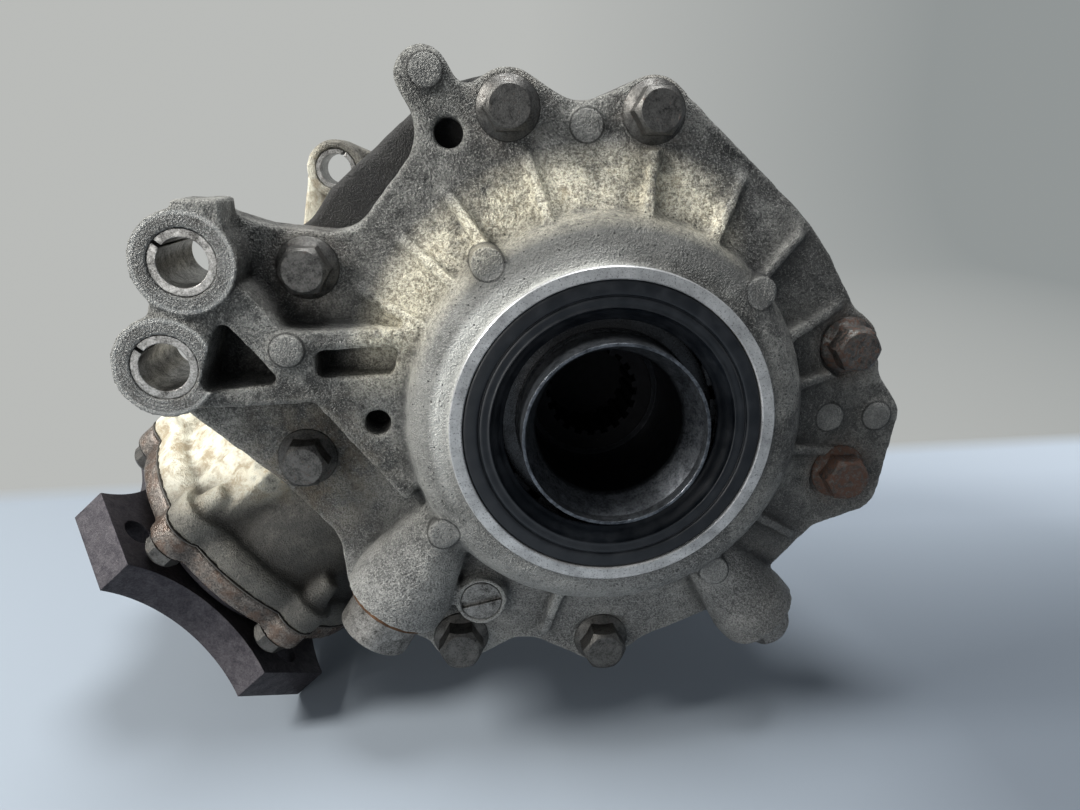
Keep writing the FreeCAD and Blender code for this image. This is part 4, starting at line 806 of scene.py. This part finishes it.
humpSettings = {
    # closed humps over the ends of the pinion carrier's bolt holes, beside the rim: lean of the pinion's axis in
    # degrees, its distance from the axle's axis, its depth, the bolt circle, how many, radius, from and to
    "lean": 48.0, "offset": 0.040, "depth": 0.079, "circle": 0.050, "count": 6, "radius": 0.0062, "from": 0.1165,
    "to": 0.1280, "taper": 0.55, "sides": 40,
}


def addHumps(body, settings):
    # cones cut short, in a circle round the pinion's axis and parallel to it
    lean = math.radians(settings["lean"])
    along = Vector((-math.sin(lean), 0.0, -math.cos(lean)))
    aside = Vector((math.cos(lean), 0.0, -math.sin(lean)))
    foot = Vector((0.0, settings["depth"], 0.0)) - aside * settings["offset"]
    length = settings["to"] - settings["from"]
    for index in range(settings["count"]):
        turn = 2 * math.pi * (index + 0.5) / settings["count"]
        mark = (Vector((0.0, 1.0, 0.0)) * math.cos(turn) + aside * math.sin(turn)) * settings["circle"]
        middle = foot + mark + along * (settings["from"] + length / 2)
        place = Matrix.Translation(middle) @ along.to_track_quat("Z", "Y").to_matrix().to_4x4()
        bmesh.ops.create_cone(body, cap_ends=True, segments=settings["sides"],
                              radius1=settings["radius"] * settings["taper"], radius2=settings["radius"],
                              depth=length, matrix=place)


def weldedCopy(node, name):
    # an object with the node's triangles joined at their corners
    body = bmesh.new()
    body.from_mesh(nodes[node].data)
    bmesh.ops.remove_doubles(body, verts=body.verts, dist=weldDistance)
    if node == "main_casing":
        addHumps(body, humpSettings)
    welded = bpy.data.meshes.new(name + "Welded")
    body.to_mesh(welded)
    body.free()
    thing = bpy.data.objects.new(name, welded)
    bpy.context.scene.collection.objects.link(thing)
    return thing


def castSkin(node, settings, material):
    # remeshes a copy of the node on a fine grid, eases it towards its neighbours' mean and makes it uneven
    thing = weldedCopy(node, settings["piece"])
    remesh = thing.modifiers.new("grid", "REMESH")
    remesh.mode = "VOXEL"
    remesh.voxel_size = settings["grid"]
    fine = bakedMesh(thing)
    points, edges = meshArrays(fine)
    count = np.bincount(edges.ravel(), minlength=len(points))
    amount = easeAmount(node, points, easeSettings)[:, None]
    for _ in range(settings["rounds"]):
        points += (neighbourMean(points, edges, count) - points) * amount
    setPoints(fine, points)
    points -= pointNormals(fine) * (castWobble(points, wobbleSettings) * settings["wobble"])[:, None] * amount
    setPoints(fine, points)
    thing.data = fine
    triangles = sum(len(p.vertices) - 2 for p in fine.polygons)
    if triangles > settings["most"]:
        thin = thing.modifiers.new("thin", "DECIMATE")
        thin.ratio = settings["most"] / triangles
        thing.data = bakedMesh(thing)
    mesh = thing.data
    mesh.name = settings["piece"]
    mesh.polygons.foreach_set("use_smooth", np.ones(len(mesh.polygons), bool))
    saveHollows(mesh, hollowSettings)
    mesh.materials.clear()
    mesh.materials.append(material)
    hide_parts(node)
    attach(thing, "housing")
    print(settings["piece"], len(mesh.polygons), "faces")


def bakedMesh(thing):
    # the object's mesh with its modifiers applied
    bpy.context.view_layer.update()
    graph = bpy.context.evaluated_depsgraph_get()
    mesh = bpy.data.meshes.new_from_object(thing.evaluated_get(graph), depsgraph=graph)
    thing.modifiers.clear()
    return mesh


def setPoints(mesh, points):
    mesh.vertices.foreach_set("co", points.astype(np.float32).ravel())
    mesh.update()


def meshArrays(mesh):
    points = np.empty(len(mesh.vertices) * 3)
    mesh.vertices.foreach_get("co", points)
    edges = np.empty(len(mesh.edges) * 2, np.int32)
    mesh.edges.foreach_get("vertices", edges)
    return points.reshape(-1, 3).copy(), edges.reshape(-1, 2)


def pointNormals(mesh):
    normals = np.empty(len(mesh.vertices) * 3)
    mesh.vertices.foreach_get("normal", normals)
    return normals.reshape(-1, 3)


wobbleSettings = {"seed": 7, "shortest": 0.004, "longest": 0.014, "waves": 12}


def castWobble(points, settings):
    # uneven cast surface, 0 to 1: half plus the mean of sine waves in seeded directions
    chance = np.random.default_rng(settings["seed"])
    total = np.zeros(len(points))
    for wave in np.geomspace(settings["shortest"], settings["longest"], settings["waves"]):
        way = chance.normal(size=3)
        way *= 2 * math.pi / (wave * np.linalg.norm(way))
        total += np.sin(points @ way + chance.uniform(0, 2 * math.pi))
    return np.clip(0.5 + total / settings["waves"], 0, 1)


# the hollow measure darkens the castings: grime and painted shade
hollowSettings = {"blurRounds": 28, "blurShare": 0.6, "spreadRounds": 3, "fullDepth": 0.0009}


def saveHollows(mesh, settings):
    # how far each point lies under or over a blurred copy of the surface, along its normal
    points, edges = meshArrays(mesh)
    normals = pointNormals(mesh)
    count = np.bincount(edges.ravel(), minlength=len(points))
    blurred = points.copy()
    for _ in range(settings["blurRounds"]):
        blurred += (neighbourMean(blurred, edges, count) - blurred) * settings["blurShare"]
    lift = ((blurred - points) * normals).sum(1)
    for _ in range(settings["spreadRounds"]):
        spread = np.stack([lift, lift, lift], 1)
        lift = neighbourMean(spread, edges, count)[:, 0] * 0.5 + lift * 0.5
    lift /= settings["fullDepth"]
    for name, values in (("hollow", lift), ("edge", -lift)):
        layer = mesh.attributes.new(name, "FLOAT", "POINT")
        layer.data.foreach_set("value", np.clip(values, 0, 1).astype(np.float32))


def faceOutwards(mesh):
    body = bmesh.new()
    body.from_mesh(mesh)
    bmesh.ops.recalc_face_normals(body, faces=body.faces)
    body.to_mesh(mesh)
    body.free()


def turnedSkin(name, section, steps, material, body):
    # a closed section of radius and depth swept round the Y axis
    radius, depth = np.asarray(section, float).T
    angle = np.linspace(0, 2 * math.pi, steps, endpoint=False)[:, None]
    points = np.stack([radius * np.cos(angle), np.tile(depth, (steps, 1)), radius * np.sin(angle)], axis=-1)
    thing = meshFrom(name, points, gridFaces(steps, len(radius), True, True))
    faceOutwards(thing.data)
    thing.data.materials.append(material)
    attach(thing, body)
    return thing


noseSettings = {
    # radii, front and back of the turned ring in metres, its chamfer and the steps round it
    "inner": 0.04752, "outer": 0.05156, "front": -0.00006, "back": 0.0024, "chamfer": 0.00035, "steps": 400,
    "light": (0.60, 0.60, 0.59), "dull": (0.27, 0.272, 0.272), "blot": (120.0, 5.0, 0.65), "dullBlot": (0.35, 0.70),
    "grooves": 21000.0, "groove": (0.16, 0.165, 0.17), "grooveLines": (0.4, 1.0, 0.0, 0.35), "grooveHeight": 0.05,
    "nicks": (0.09, 0.09, 0.09), "nickSpeck": (0.56, 0.64, 0.0, 0.75), "speck": (1500.0, 3.0, 0.7),
    "metallic": 0.55, "rough": (0.3, 0.7, 0.30, 0.46), "bump": (0.35, 0.00006),
}


def makeNose(settings):
    a, b, c = settings["inner"], settings["outer"], settings["chamfer"]
    front, back = settings["front"], settings["back"]
    section = [(a, back), (a, front + c), (a + c, front), (b - c, front), (b, front + c), (b, back)]
    material = noseFinish("turnedNose", settings)
    thing = turnedSkin("noseRing", section, settings["steps"], material, "housing")
    thing.data.polygons.foreach_set("use_smooth", np.zeros(len(thing.data.polygons), bool))


def noseFinish(name, look):
    # turned aluminium: fine rings round the axle line, nicks and a little tarnish
    material, shader, tree = newMaterial(name, look["metallic"], 0.3)
    blot = tree.noise(*look["blot"])
    speck = tree.noise(*look["speck"])
    grooves = tree.math("SINE", tree.times(tree.radius(), look["grooves"]))
    colour = tree.mix(tree.band(blot, *look["dullBlot"]), look["light"], look["dull"])
    colour = tree.mix(tree.band(grooves, *look["grooveLines"]), colour, look["groove"])
    colour = tree.mix(tree.band(speck, *look["nickSpeck"]), colour, look["nicks"])
    tree.link(colour, shader.inputs["Base Color"])
    tree.link(tree.band(blot, *look["rough"]), shader.inputs["Roughness"])
    height = tree.math("ADD", tree.times(grooves, look["grooveHeight"]), speck)
    tree.link(tree.bump(height, *look["bump"]), shader.inputs["Normal"])
    return material


sealSettings = {
    # half section of the near seal as radius and depth in mm, from the press fit round the rim to the lip
    "section": [(47.48, 9.4), (47.48, 1.1), (47.0, 0.6), (46.3, 0.5), (43.3, 0.5), (42.8, 0.8), (42.5, 1.4),
                (42.1, 0.8), (41.4, 0.65), (39.7, 0.9), (39.2, 0.65), (38.8, 0.85), (38.4, 1.9), (36.6, 3.6),
                (35.7, 4.7), (34.7, 5.4), (34.5, 6.0), (35.2, 6.7), (36.4, 7.4), (38.0, 7.0), (37.2, 5.2),
                (39.5, 3.5), (44.0, 3.3), (45.3, 3.8), (45.4, 9.4)],
    "scale": 0.001,
    "rounds": 2,
    "steps": 320,
}


def roundedSection(section, rounds):
    # corner cutting: each round puts two points at a quarter and three quarters of every side
    points = np.asarray(section, float)
    for _ in range(rounds):
        after = np.roll(points, -1, axis=0)
        points = np.stack([points * 0.75 + after * 0.25, points * 0.25 + after * 0.75], axis=1).reshape(-1, 2)
    return points


def makeSeal(settings, material):
    section = roundedSection(np.asarray(settings["section"]) * settings["scale"], settings["rounds"])
    seal = turnedSkin("nearSeal", section, settings["steps"], material, "housing")
    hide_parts("axle_seal_near")


slotFinish = {
    "bolt_steel": "boltSteel", "inner_fastener_steel": "innerFastenerSteel", "plug_steel": "plugSteel",
    "breather_steel": "breatherSteel", "sleeve_steel": "sleeveSteel", "flange_steel": "flangeSteel",
    "case_iron": "caseIron", "shim_steel": "shimSteel", "bearing_steel": "bearingSteel",
    "gear_steel": "gearSteel", "bronze_washer": "bronzeWasher", "washer_brown": "washerBrown",
}

castFinishes = {
    "cover_alloy": ("coverAlloy", coverExtras), "casing_alloy": ("casingAlloy", casingExtras),
    "carrier_alloy": ("carrierAlloy", carrierExtras),
}

# gears deep in the case: painted shade over oily steel
shadedGearNodes = ("side_gear_near", "side_gear_far", "cross_pin")


def makeFinishes():
    finishes = {}
    for slot, name in slotFinish.items():
        spots = tuple(boltPlaces.values()) if slot == "bolt_steel" else ()
        bore = boreShadeSettings if slot == "case_iron" else None
        finishes[slot] = steelFinish(name, steelPattern, spots, bore)
    finishes["shadedOilyGear"] = steelFinish("shadedOilyGear", steelPattern)
    finishes["seal_rubber"] = plainFinish("sealRubber", plainSettings["sealRubber"])
    finishes["sealant"] = plainFinish("sealant", plainSettings["sealant"])
    for slot, (name, extras) in castFinishes.items():
        finishes[slot] = castFinish(name, castSettings[name], castPattern, extras)
    return finishes


def dressNodes(finishes):
    for part in frame["record"]["subparts"]:
        node = part["node"]
        finish = "shadedOilyGear" if node in shadedGearNodes else part["material_slot"]
        nodes[node].data.materials.clear()
        nodes[node].data.materials.append(finishes[finish])


finishes = makeFinishes()
dressNodes(finishes)
print("nodes dressed")
for node, settings in skinSettings.items():
    castSkin(node, settings, finishes[settings["slot"]])
makeNose(noseSettings)
makeSeal(sealSettings, finishes["seal_rubber"])
print("skins made")

bpy.context.scene.view_settings.view_transform = "Standard"
print("scene ready")
